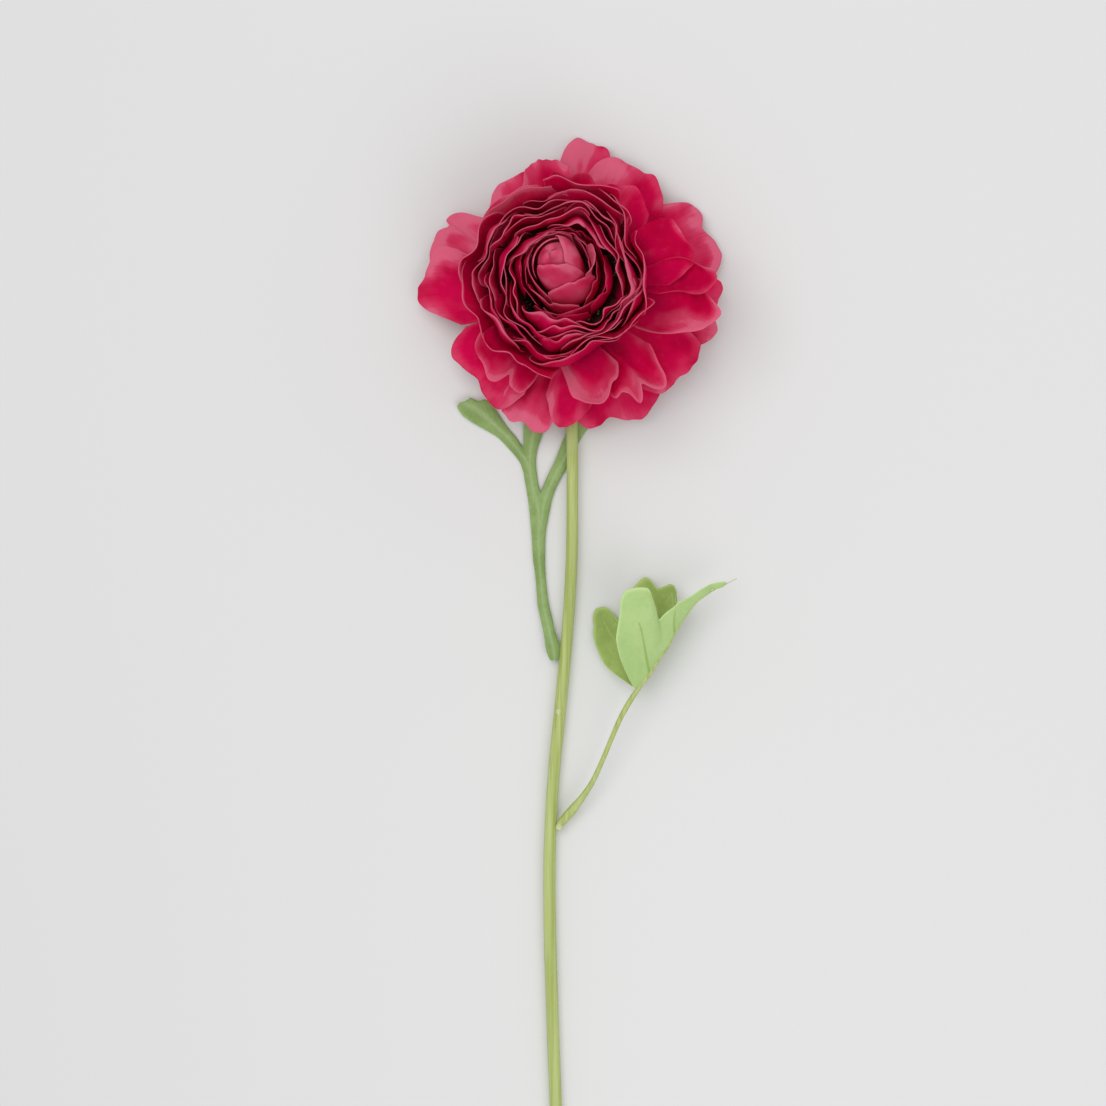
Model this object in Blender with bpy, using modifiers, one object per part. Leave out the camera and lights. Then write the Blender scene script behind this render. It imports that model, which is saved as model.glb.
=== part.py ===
"""A cut Persian buttercup (Ranunculus asiaticus) with one open double flower and two leaves, lying on a table.

Metres, +Z up. The stem lies along -Y, the flower's top side points to +Y, and the flower looks up.
The flower is modelled in its own frame: the origin is the underside of the receptacle and +Z is the flower's axis.
"""

import math

import bmesh
import bpy
from mathutils import Matrix, Vector

MM = 0.001

# Driving dimensions
HEAD_HEIGHT = 18 * MM  # underside of the receptacle above the table
HEAD_LEAN = (-0.13, 0.13)  # how far the flower's axis leans to +X and +Y for each unit of height
HEART_LEAN = (0.02, 0.11)  # how much further the flower's inner petals lean
HEART_FOOT = 8 * MM  # the height from which they do
PETAL_THICKNESS = 0.35 * MM
SEPAL_THICKNESS = 0.5 * MM
STEM_RADIUS = 2.1 * MM
STEM_GAP = 0.4 * MM  # between the stem's end and the receptacle
NECK_TOP = 1.0 * MM  # how far the receptacle's underside hangs below the flower's origin
WARP = 1.1 * MM  # how far the whole flower wanders from a true turned form
WARP_WAVE = 38 * MM  # over what distance it wanders there and back
OPEN_RADIUS = 52 * MM  # where the lowest petals' droop is measured
RIM_CLEARANCE = 0.4 * MM  # under that droop, for the petals' thickness and the waves in their rims

# Colours (linear) of each kind of piece
CRIMSON = (0.42, 0.006, 0.04)
ROSE = (0.48, 0.09, 0.14)
STEM_GREEN = (0.45, 0.53, 0.19)
LEAF_GREEN = (0.26, 0.40, 0.14)
PALE_LEAF = (0.40, 0.56, 0.22)

# Bowl shapes, as (radius, height) of the four control points of a petal's length, from claw to rim
HEART_INNER = ((3.8, 8.8), (11.5, 9.5), (13.0, 24.0), (8.2, 34.5))
HEART_OUTER = ((4.1, 7.5), (17.0, 8.0), (19.5, 23.0), (14.0, 33.0))
RING_INNER = ((4.5, 6.8), (22.5, 7.0), (24.5, 25.0), (19.0, 36.5))
RING_OUTER = ((5.2, 4.9), (29.5, 5.0), (35.5, 18.0), (30.5, 31.5))
SKIRT_INNER = ((5.5, 4.2), (28.5, 4.0), (38.5, 7.0), (40.0, 17.0))
SKIRT_OUTER = ((5.5, 3.5), (28.0, 2.0), (40.0, 3.0), (45.0, 11.0))

# The flower's upright petals, from the middle out: name, share of the way between the two bowls, count, first azimuth
HEART_WHORLS = (("a", 0.0, 3, 40), ("b", 0.5, 3, 100), ("c", 1.0, 3, 150))
RING_WHORLS = (("a", 0.0, 5, 10), ("b", 0.34, 5, 47), ("c", 0.67, 5, 82), ("d", 1.0, 5, 121))

# The half-open petals under the ball: azimuth, half width (degrees), share of the way from inner to outer bowl, reach
SKIRT_PETALS = (
    (18, 25, 0.0, 1.00),
    (55, 26, 1.0, 0.93),
    (93, 24, 0.0, 0.96),
    (131, 25, 1.0, 0.87),
    (176, 26, 0.0, 0.90),
    (-129, 27, 1.0, 0.92),
    (-82, 26, 0.0, 0.97),
    (-38, 27, 1.0, 0.95),
)

# The wide open petals at the back: azimuth, reach (mm), half width (degrees), level from the back, lobes on the rim
OUTER_PETALS = (
    (161, 55.0, 19, 0, 3.0),
    (185, 56.0, 20, 1, 3.5),
    (125, 50.0, 19, 1, 2.5),
    (106, 51.0, 16, 2, 2.0),
    (88, 54.5, 15, 0, 1.5),
    (61, 53.0, 25, 1, 2.5),
    (24, 56.5, 20, 0, 2.0),
    (-5, 55.5, 19, 1, 2.5),
    (-35, 54.0, 20, 2, 3.0),
    (-67, 56.5, 21, 0, 3.5),
    (-89, 52.0, 13, 2, 1.5),
    (-108, 54.5, 16, 1, 2.0),
    (-139, 52.5, 23, 2, 3.5),
)

# The stem's middle line from the cut end to the flower's neck, in millimetres
STEM_LINE = (
    (-2.0, -378.0, 2.2),
    (-4.2, -330.0, 2.3),
    (-5.6, -291.0, 2.4),
    (-6.7, -262.0, 2.6),
    (-7.7, -228.0, 2.8),
    (-7.8, -202.0, 2.9),
    (-6.6, -176.0, 3.0),
    (-4.1, -150.0, 3.0),
    (-1.5, -122.0, 3.1),
    (0.0, -97.0, 3.4),
    (0.3, -70.0, 4.0),
    (0.2, -50.0, 5.0),
    (0.2, -34.0, 6.6),
    (0.4, -20.0, 8.7),
    (0.8, -10.5, 10.6),
    (0.9, -4.4, 12.0),
)

# The upper leaf: three straps, each a middle line in millimetres with the strap's half width at each point
UPPER_LEAF_STRAPS = (
    (
        ((-6.4, -131.6, 3.0), 1.7),
        ((-7.2, -125.0, 2.7), 2.6),
        ((-9.6, -112.0, 1.7), 2.2),
        ((-11.3, -97.0, 1.0), 2.1),
        ((-11.9, -82.0, 0.8), 2.5),
        ((-13.4, -68.0, 0.8), 2.4),
        ((-13.7, -58.0, 0.8), 2.6),
        ((-13.2, -48.0, 1.0), 3.7),
        ((-12.6, -40.0, 1.6), 3.3),
        ((-12.3, -35.0, 2.2), 1.2),
    ),
    (
        ((-14.2, -66.0, 0.8), 1.8),
        ((-18.0, -59.5, 0.8), 1.8),
        ((-23.0, -52.5, 0.9), 2.1),
        ((-29.3, -46.8, 1.2), 3.3),
        ((-35.0, -43.4, 1.6), 3.8),
        ((-38.8, -41.4, 2.0), 2.6),
        ((-40.6, -40.6, 2.2), 0.9),
    ),
    (
        ((-12.0, -77.0, 0.8), 1.6),
        ((-9.6, -72.0, 0.8), 2.0),
        ((-5.6, -65.0, 0.8), 2.4),
        ((-0.9, -57.0, 0.8), 2.8),
        ((3.4, -50.0, 0.9), 3.2),
        ((6.6, -43.5, 1.2), 3.2),
        ((8.6, -38.5, 1.6), 1.3),
    ),
)
UPPER_LEAF_THICKNESS = 0.8 * MM

# The lower leaf: its stalk's middle line with the stalk's radius, then the blade's midrib, in millimetres
LOWER_STALK = (
    ((-4.3, -190.6, 3.6), 1.5),
    ((-0.5, -186.3, 4.6), 1.55),
    ((3.9, -180.8, 6.0), 1.15),
    ((7.5, -175.2, 7.3), 0.9),
    ((10.8, -168.0, 8.8), 0.85),
    ((14.1, -160.0, 10.2), 0.85),
    ((17.3, -152.6, 11.4), 0.9),
    ((20.6, -146.6, 12.4), 1.0),
    ((25.8, -139.6, 13.4), 0.8),
)
LOWER_MIDRIB = (
    (23.0, -142.9, 12.9),
    (27.3, -137.7, 13.6),
    (31.3, -131.5, 14.2),
    (35.1, -124.8, 14.6),
    (39.2, -118.2, 14.6),
    (44.6, -111.6, 14.2),
    (49.6, -107.2, 13.4),
    (55.0, -104.6, 12.4),
)
BLADE_RISE = math.radians(29)  # how steeply the upper half of the folded blade rises from its midrib
BLADE_FALL = math.radians(24)  # how steeply the lower half falls
BLADE_THICKNESS = 0.5 * MM
# Lobes of the blade: angle from the midrib, length (mm) and half width (degrees). The upper half's are positive.
BLADE_LOBES = (
    (1, 52.0, 17),
    (48, 39.8, 22),
    (62, 26.0, 14),
    (-23, 41.0, 10),
    (-39, 42.0, 12),
    (-69, 35.0, 17),
    (-84, 22.0, 13),
)
BLADE_WEB = 19 * MM  # how far from the stalk the lobes are joined
BLADE_HALF_SPREAD = 95  # degrees
BLADE_START = 2.4 * MM  # how far from the stalk's end the blade begins


def smooth_path(points, per_span):
    """Points along a Catmull-Rom curve through the given vectors, per_span of them between each two."""
    ends = [points[0] * 2 - points[1], *points, points[-1] * 2 - points[-2]]
    path = []
    for before, start, end, after in zip(ends, ends[1:], ends[2:], ends[3:]):
        for step in range(per_span):
            t = step / per_span
            bend = before * -1 + start * 3 - end * 3 + after
            pull = before * 2 - start * 5 + end * 4 - after
            path.append(start + ((end - before) * t + pull * t**2 + bend * t**3) / 2)
    return [*path, points[-1]]


def ease(value, low, high):
    """0 up to low, 1 from high on, and a smooth rise between them."""
    share = min(max((value - low) / (high - low), 0.0), 1.0)
    return share * share * (3 - 2 * share)


def warped(point):
    """The point moved by gentle waves that bend neighbouring petals alike, so that they never meet."""
    x, y, z = point * (2 * math.pi / WARP_WAVE)
    waves = Vector((math.sin(y + 0.6 * z + 0.9), math.sin(z + 0.7 * x + 2.1), math.sin(x - 0.8 * y + 4.0)))
    waves += Vector((math.sin(1.7 * z - y), math.sin(1.6 * x + z + 1.3), math.sin(1.5 * y + x + 0.5))) * 0.5
    fade = ease(math.hypot(point.x, point.y, point.z - 5 * MM), 5 * MM, 22 * MM)
    return point + waves * WARP * fade


def leaned(point):
    """The point moved as the inner petals lean: the higher, the further."""
    return point + Vector((*HEART_LEAN, 0)) * max(0.0, point.z - HEART_FOOT)


def between(inner, outer, share):
    return [Vector(a).lerp(Vector(b), share) * MM for a, b in zip(inner, outer)]


def along_bowl(bowl, v):
    """Radius, height and the direction away from the flower's middle, at v along a bowl's length."""
    w = 1 - v
    a, b, c, d = bowl
    place = a * w**3 + b * 3 * w * w * v + c * 3 * w * v * v + d * v**3
    slope = (b - a) * w * w + (c - b) * 2 * w * v + (d - c) * v * v
    away = Vector((slope.y, -slope.x)).normalized()
    return place, away


def petal_outline(u, v, rounding, lobes, depth):
    """How far along its length a point of a petal lies: the rim is rounded and shallowly lobed."""
    rim = 1 - rounding * abs(u) ** 2.6 + depth * math.cos(lobes * math.pi * u)
    return v * rim


def claw(v):
    """Width of a petal at v, from its narrow claw (0.24) to its full width (1), rounded again at the rim."""
    return (0.24 + 0.76 * ease(v, -0.15, 0.75)) * (1 - 0.22 * ease(v, 0.8, 1.15))


def laid_out(place, across, along):
    """An open grid on the surface place(u, v), u from -1 to 1 and v from 0 to 1."""
    grid = bmesh.new()
    bmesh.ops.create_grid(grid, x_segments=across, y_segments=along, size=1)
    for vertex in grid.verts:
        vertex.co = place(vertex.co.x, (vertex.co.y + 1) / 2)
    return grid


def made_from(name, form, colour, roughness=0.55):
    """A smooth object of one colour from a bmesh."""
    mesh = bpy.data.meshes.new(name)
    form.to_mesh(mesh)
    form.free()
    mesh.shade_smooth()
    made = bpy.data.objects.new(name, mesh)
    flower_parts.objects.link(made)
    mesh.materials.append(finish(colour, roughness))
    return made


def petal(name, place, across, along, thickness, colour):
    """A thin solid round the surface place(u, v), held by the flower's head."""
    made = made_from(name, laid_out(place, across, along), colour)
    shell = made.modifiers.new("thickness", "SOLIDIFY")
    shell.thickness = thickness
    shell.offset = 0
    made.parent = head
    return made


def strip(name, place, across, along, thickness, colour):
    """A flat leaf that is as thick everywhere, measured straight up."""
    form = laid_out(place, across, along)
    top = bmesh.ops.extrude_face_region(form, geom=form.faces[:], use_keep_orig=True)["geom"]
    lifted = [part for part in top if isinstance(part, bmesh.types.BMVert)]
    bmesh.ops.translate(form, vec=(0, 0, thickness), verts=lifted)
    bmesh.ops.recalc_face_normals(form, faces=form.faces)
    return made_from(name, form, colour, 0.5)


def finish(colour, roughness):
    """A plain material of one colour, shared by the pieces that have it."""
    name = "finish_%02x%02x%02x" % tuple(round(255 * part) for part in colour)
    material = bpy.data.materials.get(name)
    if material is None:
        material = bpy.data.materials.new(name)
        material.use_nodes = True
        shader = material.node_tree.nodes["Principled BSDF"]
        shader.inputs["Base Color"].default_value = (*colour, 1)
        shader.inputs["Roughness"].default_value = roughness
        shader.inputs["Metallic"].default_value = 0
    return material


def upright_petal(name, bowl, azimuth, half_width, reach=1.0, tuck=0.9 * MM, colour=CRIMSON, leans=False):
    """A petal on a bowl. One edge is tucked behind its neighbour's, as the other stands in front of the next."""

    def place(u, v):
        w = petal_outline(u, v, 0.13, 2.5, 0.012) * reach
        flat, away = along_bowl(bowl, w)
        flat = flat + away * (tuck * u * ease(v, 0.15, 0.75))
        turn = math.radians(azimuth) + u * math.radians(half_width) * claw(v)
        point = Vector((flat.x * math.cos(turn), flat.x * math.sin(turn), flat.y))
        return warped(leaned(point) if leans else point)

    return petal(name, place, 8, 6, PETAL_THICKNESS, colour)


def droop(turn):
    """How far the open petals hang down at OPEN_RADIUS: enough to reach the table on the flower's top side."""
    across, up = math.cos(turn) * OPEN_RADIUS, math.sin(turn) * OPEN_RADIUS
    above_table = HEAD_HEIGHT - HEAD_LEAN[0] * across - HEAD_LEAN[1] * up
    kept_up = 8.5 * MM * ((1 - math.sin(turn)) / 2) ** 1.5 + 1.5 * MM * max(0.0, math.cos(turn))
    return above_table - kept_up - RIM_CLEARANCE


def open_height(radius, turn, level):
    """Height of an open petal. The levels are close together at the claw and fan out towards the rim."""
    share = radius / OPEN_RADIUS
    return (1.1 + 0.65 * level) * MM + 1.3 * MM * level * share**2 - droop(turn) * share**1.7


def open_petal(name, azimuth, reach, half_width, level, lobes):
    """A wide petal at the back of the flower, spread out and hanging a little."""
    root = 5.7 * MM

    def place(u, v):
        w = petal_outline(u, v, 0.12, lobes, 0.02)
        radius = root + (reach * MM - root) * w
        turn = math.radians(azimuth) + u * math.radians(half_width) * claw(v)
        flat = Vector((radius * math.cos(turn), radius * math.sin(turn), 0))
        flat.z = open_height(radius, turn, level)
        return warped(flat)

    return petal(name, place, 8, 6, PETAL_THICKNESS, CRIMSON)


def sepal(name, azimuth):
    """One of the small green leaves under the flower."""
    root, reach = 5.7 * MM, 15.5 * MM

    def place(u, v):
        radius = root + (reach - root) * v
        narrow = 1 - 0.85 * v**2.5
        turn = math.radians(azimuth) + u * math.radians(19) * narrow
        flat = Vector((radius * math.cos(turn), radius * math.sin(turn), 0))
        flat.z = open_height(radius, turn, 0) - 1.5 * MM - 1.2 * MM * v
        return warped(flat)

    return petal(name, place, 4, 5, SEPAL_THICKNESS, LEAF_GREEN)


def receptacle():
    """The swollen end of the stem that every petal grows from, turned from its outline."""
    low = -NECK_TOP / MM
    outline = ((0, 9.3), (2.2, 9.0), (3.3, 7.6), (4.4, 5.0), (5.0, 2.6), (5.1, 0.6), (4.2, -0.6), (2.1, low), (0, low))
    mesh = bpy.data.meshes.new("receptacle")
    edges = [(index, index + 1) for index in range(len(outline) - 1)]
    mesh.from_pydata([(x * MM, 0, z * MM) for x, z in outline], edges, [])
    made = bpy.data.objects.new("receptacle", mesh)
    flower_parts.objects.link(made)
    turned = made.modifiers.new("turned", "SCREW")
    turned.steps = turned.render_steps = 16
    turned.use_merge_vertices = True
    turned.merge_threshold = 0.00001
    turned.use_smooth_shade = True
    mesh.materials.append(finish(LEAF_GREEN, 0.6))
    made.parent = head


def bud():
    """The closed petals in the flower's middle, as one egg with a narrow foot."""
    foot, middle, top, radius = 9.9 * MM, 26 * MM, 38.5 * MM, 8.0 * MM
    form = bmesh.new()
    bmesh.ops.create_uvsphere(form, u_segments=16, v_segments=10, radius=1)
    for vertex in form.verts:
        x, y, z = vertex.co
        low = z < 0
        slim = 1 - 0.3 * ease(-z, 0.2, 0.9) if low else 1.0
        height = middle + z * ((middle - foot) if low else (top - middle))
        vertex.co = warped(leaned(Vector((x * radius * slim, y * radius * slim, height))))
    made_from("bud", form, ROSE).parent = head


def tube(name, path, radii, colour, sides=2):
    """A round stalk along a path, with a radius at each point."""
    curve = bpy.data.curves.new(name, "CURVE")
    curve.dimensions = "3D"
    curve.bevel_depth = 1
    curve.bevel_resolution = sides
    curve.use_fill_caps = True
    line = curve.splines.new("POLY")
    line.points.add(len(path) - 1)
    for point, place, radius in zip(line.points, path, radii):
        point.co = (*place, 1)
        point.radius = radius
    line.use_smooth = True
    curve.materials.append(finish(colour, 0.45))
    made = bpy.data.objects.new(name, curve)
    flower_parts.objects.link(made)
    return made


def as_mesh(made):
    """The same object as a closed mesh, its modifiers applied and its caps joined to its sides."""
    bpy.context.view_layer.update()
    graph = bpy.context.evaluated_depsgraph_get()
    mesh = bpy.data.meshes.new_from_object(made.evaluated_get(graph))
    welded = bmesh.new()
    welded.from_mesh(mesh)
    bmesh.ops.remove_doubles(welded, verts=welded.verts, dist=0.000005)
    bmesh.ops.recalc_face_normals(welded, faces=welded.faces)
    welded.to_mesh(mesh)
    welded.free()
    solid = bpy.data.objects.new(made.name, mesh)
    solid.matrix_world = made.matrix_world
    name = made.name
    bpy.data.objects.remove(made)
    solid.name = name
    flower_parts.objects.link(solid)
    return solid


def joined(first, *others):
    """One solid from several that overlap."""
    for other in others:
        union = first.modifiers.new("grown_together", "BOOLEAN")
        union.operation = "UNION"
        union.solver = "EXACT"
        union.object = other
    whole = as_mesh(first)
    for other in others:
        bpy.data.objects.remove(other)
    return whole


def stem():
    """The stalk, bent up at its neck into the underside of the flower."""
    neck = [head.matrix_world @ Vector((0, 0, -NECK_TOP - below)) for below in (2.8 * MM, STEM_GAP)]
    path = smooth_path([*[Vector(point) * MM for point in STEM_LINE], *neck], 3)
    swell = [1 + 0.05 * math.sin(index * 0.7) for index in range(len(path))]
    tube("stem", path, [STEM_RADIUS * share for share in swell], STEM_GREEN, 3)


def strap(name, line, thickness, colour):
    """A narrow blade along a middle line, with a half width at each point."""
    path = smooth_path([Vector(place) * MM for place, _ in line], 2)
    widths = smooth_path([Vector((width * MM, 0, 0)) for _, width in line], 2)

    def place(u, v):
        index = round(v * (len(path) - 1))
        ahead = path[min(index + 1, len(path) - 1)] - path[max(index - 1, 0)]
        side = ahead.cross(Vector((0, 0, 1))).normalized()
        return path[index] + side * (u * widths[index].x)

    return strip(name, place, 2, len(path) - 1, thickness, colour)


def upper_leaf():
    """The three-lobed leaf whose lobes pass under the flower."""
    straps = [strap("upper_leaf", line, UPPER_LEAF_THICKNESS, LEAF_GREEN) for line in UPPER_LEAF_STRAPS]
    whole = joined(*straps)
    whole.name = "upper_leaf"


def lobed_reach(angle):
    """How far the lower leaf's blade reaches from its stalk at an angle (degrees) from the midrib."""
    reach = BLADE_WEB * math.sqrt(max(1 - (angle / (BLADE_HALF_SPREAD + 4)) ** 2, 0.05))
    for middle, length, half_width in BLADE_LOBES:
        aside = abs(angle - middle) / half_width
        if aside < 1:
            reach = max(reach, length * MM * (1 - aside**2.4) ** 0.5)
    return reach


def lower_leaf():
    """The folded three-part leaf on its long stalk."""
    path = smooth_path([Vector(place) * MM for place, _ in LOWER_STALK], 2)
    radii = [share.x for share in smooth_path([Vector((radius * MM, 0, 0)) for _, radius in LOWER_STALK], 2)]
    stalk = as_mesh(tube("lower_leaf_stalk", path, radii, STEM_GREEN))
    rib = smooth_path([Vector(point) * MM for point in LOWER_MIDRIB], 4)
    ahead = Vector((rib[-1].x - rib[0].x, rib[-1].y - rib[0].y, 0)).normalized()
    across = Vector((-ahead.y, ahead.x, 0))

    def on_rib(forward):
        for start, end in zip(rib, rib[1:]):
            low, high = (start - rib[0]).dot(ahead), (end - rib[0]).dot(ahead)
            if forward <= high or end == rib[-1]:
                return start + (end - start) * ((forward - low) / (high - low))

    def place(u, v):
        angle = u * BLADE_HALF_SPREAD
        radius = BLADE_START + (lobed_reach(angle) - BLADE_START) * v
        forward, aside = radius * math.cos(math.radians(angle)), radius * math.sin(math.radians(angle))
        slope = BLADE_RISE if aside > 0 else -BLADE_FALL
        return on_rib(forward) + (across * math.cos(slope) + Vector((0, 0, math.sin(slope)))) * abs(aside)

    folded = made_from("lower_leaf_blade", laid_out(place, 38, 5), PALE_LEAF)
    shell = folded.modifiers.new("thickness", "SOLIDIFY")
    shell.thickness = BLADE_THICKNESS
    shell.offset = -1
    whole = joined(stalk, as_mesh(folded))
    whole.name = "lower_leaf"


def flower():
    """Every piece that grows from the receptacle, from the back of the flower to its middle."""
    receptacle()
    for number in range(5):
        sepal(f"sepal_{number + 1}", 54 + 72 * number)
    for number, (azimuth, reach, half_width, level, lobes) in enumerate(OUTER_PETALS):
        open_petal(f"outer_petal_{number + 1:02d}", azimuth, reach, half_width, level, lobes)
    for number, (azimuth, half_width, share, reach) in enumerate(SKIRT_PETALS):
        bowl = between(SKIRT_INNER, SKIRT_OUTER, share)
        upright_petal(f"skirt_petal_{number + 1}", bowl, azimuth, half_width, reach, tuck=0.3 * MM)
    for letter, share, count, first in RING_WHORLS:
        for number in range(count):
            bowl = between(RING_INNER, RING_OUTER, share)
            upright_petal(f"ring_petal_{letter}{number + 1}", bowl, first + 360 / count * number, 46)
    for letter, share, count, first in HEART_WHORLS:
        for number in range(count):
            bowl = between(HEART_INNER, HEART_OUTER, share)
            turn = first + 360 / count * number
            name = f"heart_petal_{letter}{number + 1}"
            upright_petal(name, bowl, turn, 68, tuck=0.75 * MM, colour=ROSE, leans=True)
    bud()


def stand_on_origin():
    """Moves everything so that the box round it stands on the origin."""
    bpy.context.view_layer.update()
    graph = bpy.context.evaluated_depsgraph_get()
    corners = []
    for made in flower_parts.objects:
        if made.type != "EMPTY":
            evaluated = made.evaluated_get(graph)
            mesh = evaluated.to_mesh()
            corners += [evaluated.matrix_world @ vertex.co for vertex in mesh.vertices]
            evaluated.to_mesh_clear()
    low = Vector([min(corner[axis] for corner in corners) for axis in range(3)])
    high = Vector([max(corner[axis] for corner in corners) for axis in range(3)])
    shift = Vector((-(low.x + high.x) / 2, -(low.y + high.y) / 2, -low.z))
    for made in flower_parts.objects:
        if made.parent is None:
            made.matrix_world = Matrix.Translation(shift) @ made.matrix_world


for leftover in list(bpy.data.objects):
    bpy.data.objects.remove(leftover)
flower_parts = bpy.data.collections.new("persian_buttercup")
bpy.context.scene.collection.children.link(flower_parts)

head = bpy.data.objects.new("head", None)
head.location = (0, 0, HEAD_HEIGHT)
head.rotation_mode = "QUATERNION"
head.rotation_quaternion = Vector((0, 0, 1)).rotation_difference(Vector((*HEAD_LEAN, 1)))
flower_parts.objects.link(head)
bpy.context.view_layer.update()

stem()
upper_leaf()
lower_leaf()
flower()
stand_on_origin()
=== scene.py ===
import math
import random

import bmesh
import bpy
import numpy as np
from mathutils import Matrix, Vector


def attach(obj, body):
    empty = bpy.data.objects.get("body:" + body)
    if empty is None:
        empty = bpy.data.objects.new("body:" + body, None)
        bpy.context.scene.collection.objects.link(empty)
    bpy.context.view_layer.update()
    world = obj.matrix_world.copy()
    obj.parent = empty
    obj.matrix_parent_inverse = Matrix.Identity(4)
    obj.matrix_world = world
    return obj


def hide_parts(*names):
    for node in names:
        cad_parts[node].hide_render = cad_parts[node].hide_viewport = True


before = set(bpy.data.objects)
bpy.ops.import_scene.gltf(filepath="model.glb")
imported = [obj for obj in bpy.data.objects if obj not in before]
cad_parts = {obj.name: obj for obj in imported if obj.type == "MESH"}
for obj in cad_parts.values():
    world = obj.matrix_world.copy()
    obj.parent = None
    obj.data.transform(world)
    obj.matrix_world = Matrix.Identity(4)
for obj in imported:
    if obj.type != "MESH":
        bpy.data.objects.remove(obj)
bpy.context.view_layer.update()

# ----------------------------------------------------------------------
# The table, the light and the view. The flower lies on a pale, matt table top under two big soft
# lamps, in a white room, and is looked at from straight above, the way its open face looks.

MM = 0.001  # in metres
LEAN = 0.13  # how far the flower leans to the left, and to its top side, for each unit of height


class Wire:
    """A value in a node tree. Sums, differences and products of wires add the Math nodes they need."""

    def __init__(self, tree, socket):
        self.tree = tree
        self.socket = socket

    @classmethod
    def node(cls, tree, kind, settings=None, values=None, out=0):
        """Adds a node, first its settings, then what its sockets hold, and gives one of its outputs."""
        made = tree.nodes.new(kind)
        for name, value in (settings or {}).items():
            setattr(made, name, value)
        for name, value in (values or {}).items():
            if isinstance(value, Wire):
                tree.links.new(value.socket, made.inputs[name])
            else:
                made.inputs[name].default_value = value
        return cls(tree, made.outputs[out])

    def math(self, operation, *values, clamp=False):
        settings = {"operation": operation, "use_clamp": clamp}
        return Wire.node(self.tree, "ShaderNodeMath", settings, dict(enumerate(values)))

    def __add__(self, value):
        return self.math("ADD", self, value)

    def __sub__(self, value):
        return self.math("SUBTRACT", self, value)

    def __mul__(self, value):
        return self.math("MULTIPLY", self, value)

    def __radd__(self, value):
        return self.math("ADD", value, self)

    def __rsub__(self, value):
        return self.math("SUBTRACT", value, self)

    def __rmul__(self, value):
        return self.math("MULTIPLY", value, self)

    def clamped(self):
        return self.math("ADD", self, 0.0, clamp=True)

    def rising(self, low, high):
        """0 where the wire is under low, 1 where it is over high, and smooth between."""
        values = {"Value": self, "From Min": low, "From Max": high}
        return Wire.node(self.tree, "ShaderNodeMapRange", {"interpolation_type": "SMOOTHSTEP"}, values)

    def mixed(self, first, second):
        """The first colour where the wire is 0 and the second where it is 1."""
        first, second = (given if isinstance(given, Wire) else (*given, 1) for given in (first, second))
        values = {0: self, 6: first, 7: second}  # the node's factor and its two colours
        return Wire.node(self.tree, "ShaderNodeMix", {"data_type": "RGBA"}, values, 2)


class Finish:
    """A material with one Principled shader, and short ways to the patterns that the finishes share."""

    def __init__(self, name, **settings):
        self.material = bpy.data.materials.new(name)
        self.material.use_nodes = True
        self.tree = self.material.node_tree
        self.shader = self.tree.nodes["Principled BSDF"]
        for socket, value in settings.items():
            self.shader.inputs[socket.replace("_", " ")].default_value = value

    def node(self, kind, settings=None, values=None, out=0):
        return Wire.node(self.tree, kind, settings, values, out)

    def place(self):
        return self.node("ShaderNodeTexCoord", out="Object")

    def attribute(self, name, out="Fac"):
        return self.node("ShaderNodeAttribute", {"attribute_name": name}, out=out)

    def stretched(self, vector, scale):
        return self.node("ShaderNodeMapping", {}, {"Vector": vector, "Scale": scale})

    def noise(self, vector, scale, detail=2.0, roughness=0.5):
        values = {"Vector": vector, "Scale": scale, "Detail": detail, "Roughness": roughness}
        return self.node("ShaderNodeTexNoise", {}, values)

    def feed(self, **wires):
        for socket, wire in wires.items():
            self.tree.links.new(wire.socket, self.shader.inputs[socket.replace("_", " ")])

    def bumped(self, height, depth):
        """Raises the surface by the wire's height, 1 being depth metres."""
        values = {"Height": height, "Distance": depth, "Strength": 1.0}
        self.feed(Normal=self.node("ShaderNodeBump", {}, values))

    def lit_through(self, colour, share):
        """Lets light through the thin wall, tinted, for a share of the surface's light."""
        glow = self.node("ShaderNodeBsdfTranslucent", {}, {"Color": (*colour, 1)})
        result = self.tree.nodes["Material Output"].inputs["Surface"]
        front = Wire(self.tree, result.links[0].from_socket)
        both = self.node("ShaderNodeMixShader", {}, {0: share, 1: front, 2: glow})
        self.tree.links.new(both.socket, result)


def table_finish():
    made = Finish("table_top", Roughness=0.9)
    across = made.node("ShaderNodeSeparateXYZ", {}, {"Vector": made.place()}, "X")
    # Painted shade: the table top is painted darker towards its left, under a faint random cloud.
    tone = across.rising(-0.30, 0.12) * 0.8 + made.noise(made.place(), 3.0, 1.0) * 0.2
    made.feed(Base_Color=tone.mixed((0.735, 0.735, 0.735), (0.80, 0.80, 0.80)))
    return made.material


def table_top():
    half = 3.0  # metres from the table's middle to its edge
    mesh = bpy.data.meshes.new("table_top")
    corners = [(-half, -half, 0), (half, -half, 0), (half, half, 0), (-half, half, 0)]
    mesh.from_pydata(corners, [], [(0, 1, 2, 3)])
    mesh.materials.append(table_finish())
    made = bpy.data.objects.new("table_top", mesh)
    bpy.context.scene.collection.objects.link(made)


def flower_axis():
    """The foot of the petals, where the flower's own upright axis starts, and the turn that leans it."""
    lean = Vector((-LEAN, LEAN, 1)).normalized()
    corners = [corner.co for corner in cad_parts["receptacle"].data.vertices]
    middle = sum(corners, Vector()) / len(corners)
    lowest = min(corner.dot(lean) for corner in corners)
    below_foot = 1.0 * MM  # how far the receptacle reaches down under the petals' foot
    foot = middle + lean * (lowest + below_foot - middle.dot(lean))
    return foot, Vector((0, 0, 1)).rotation_difference(lean).to_matrix()


flower_foot, flower_turn = flower_axis()


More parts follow.
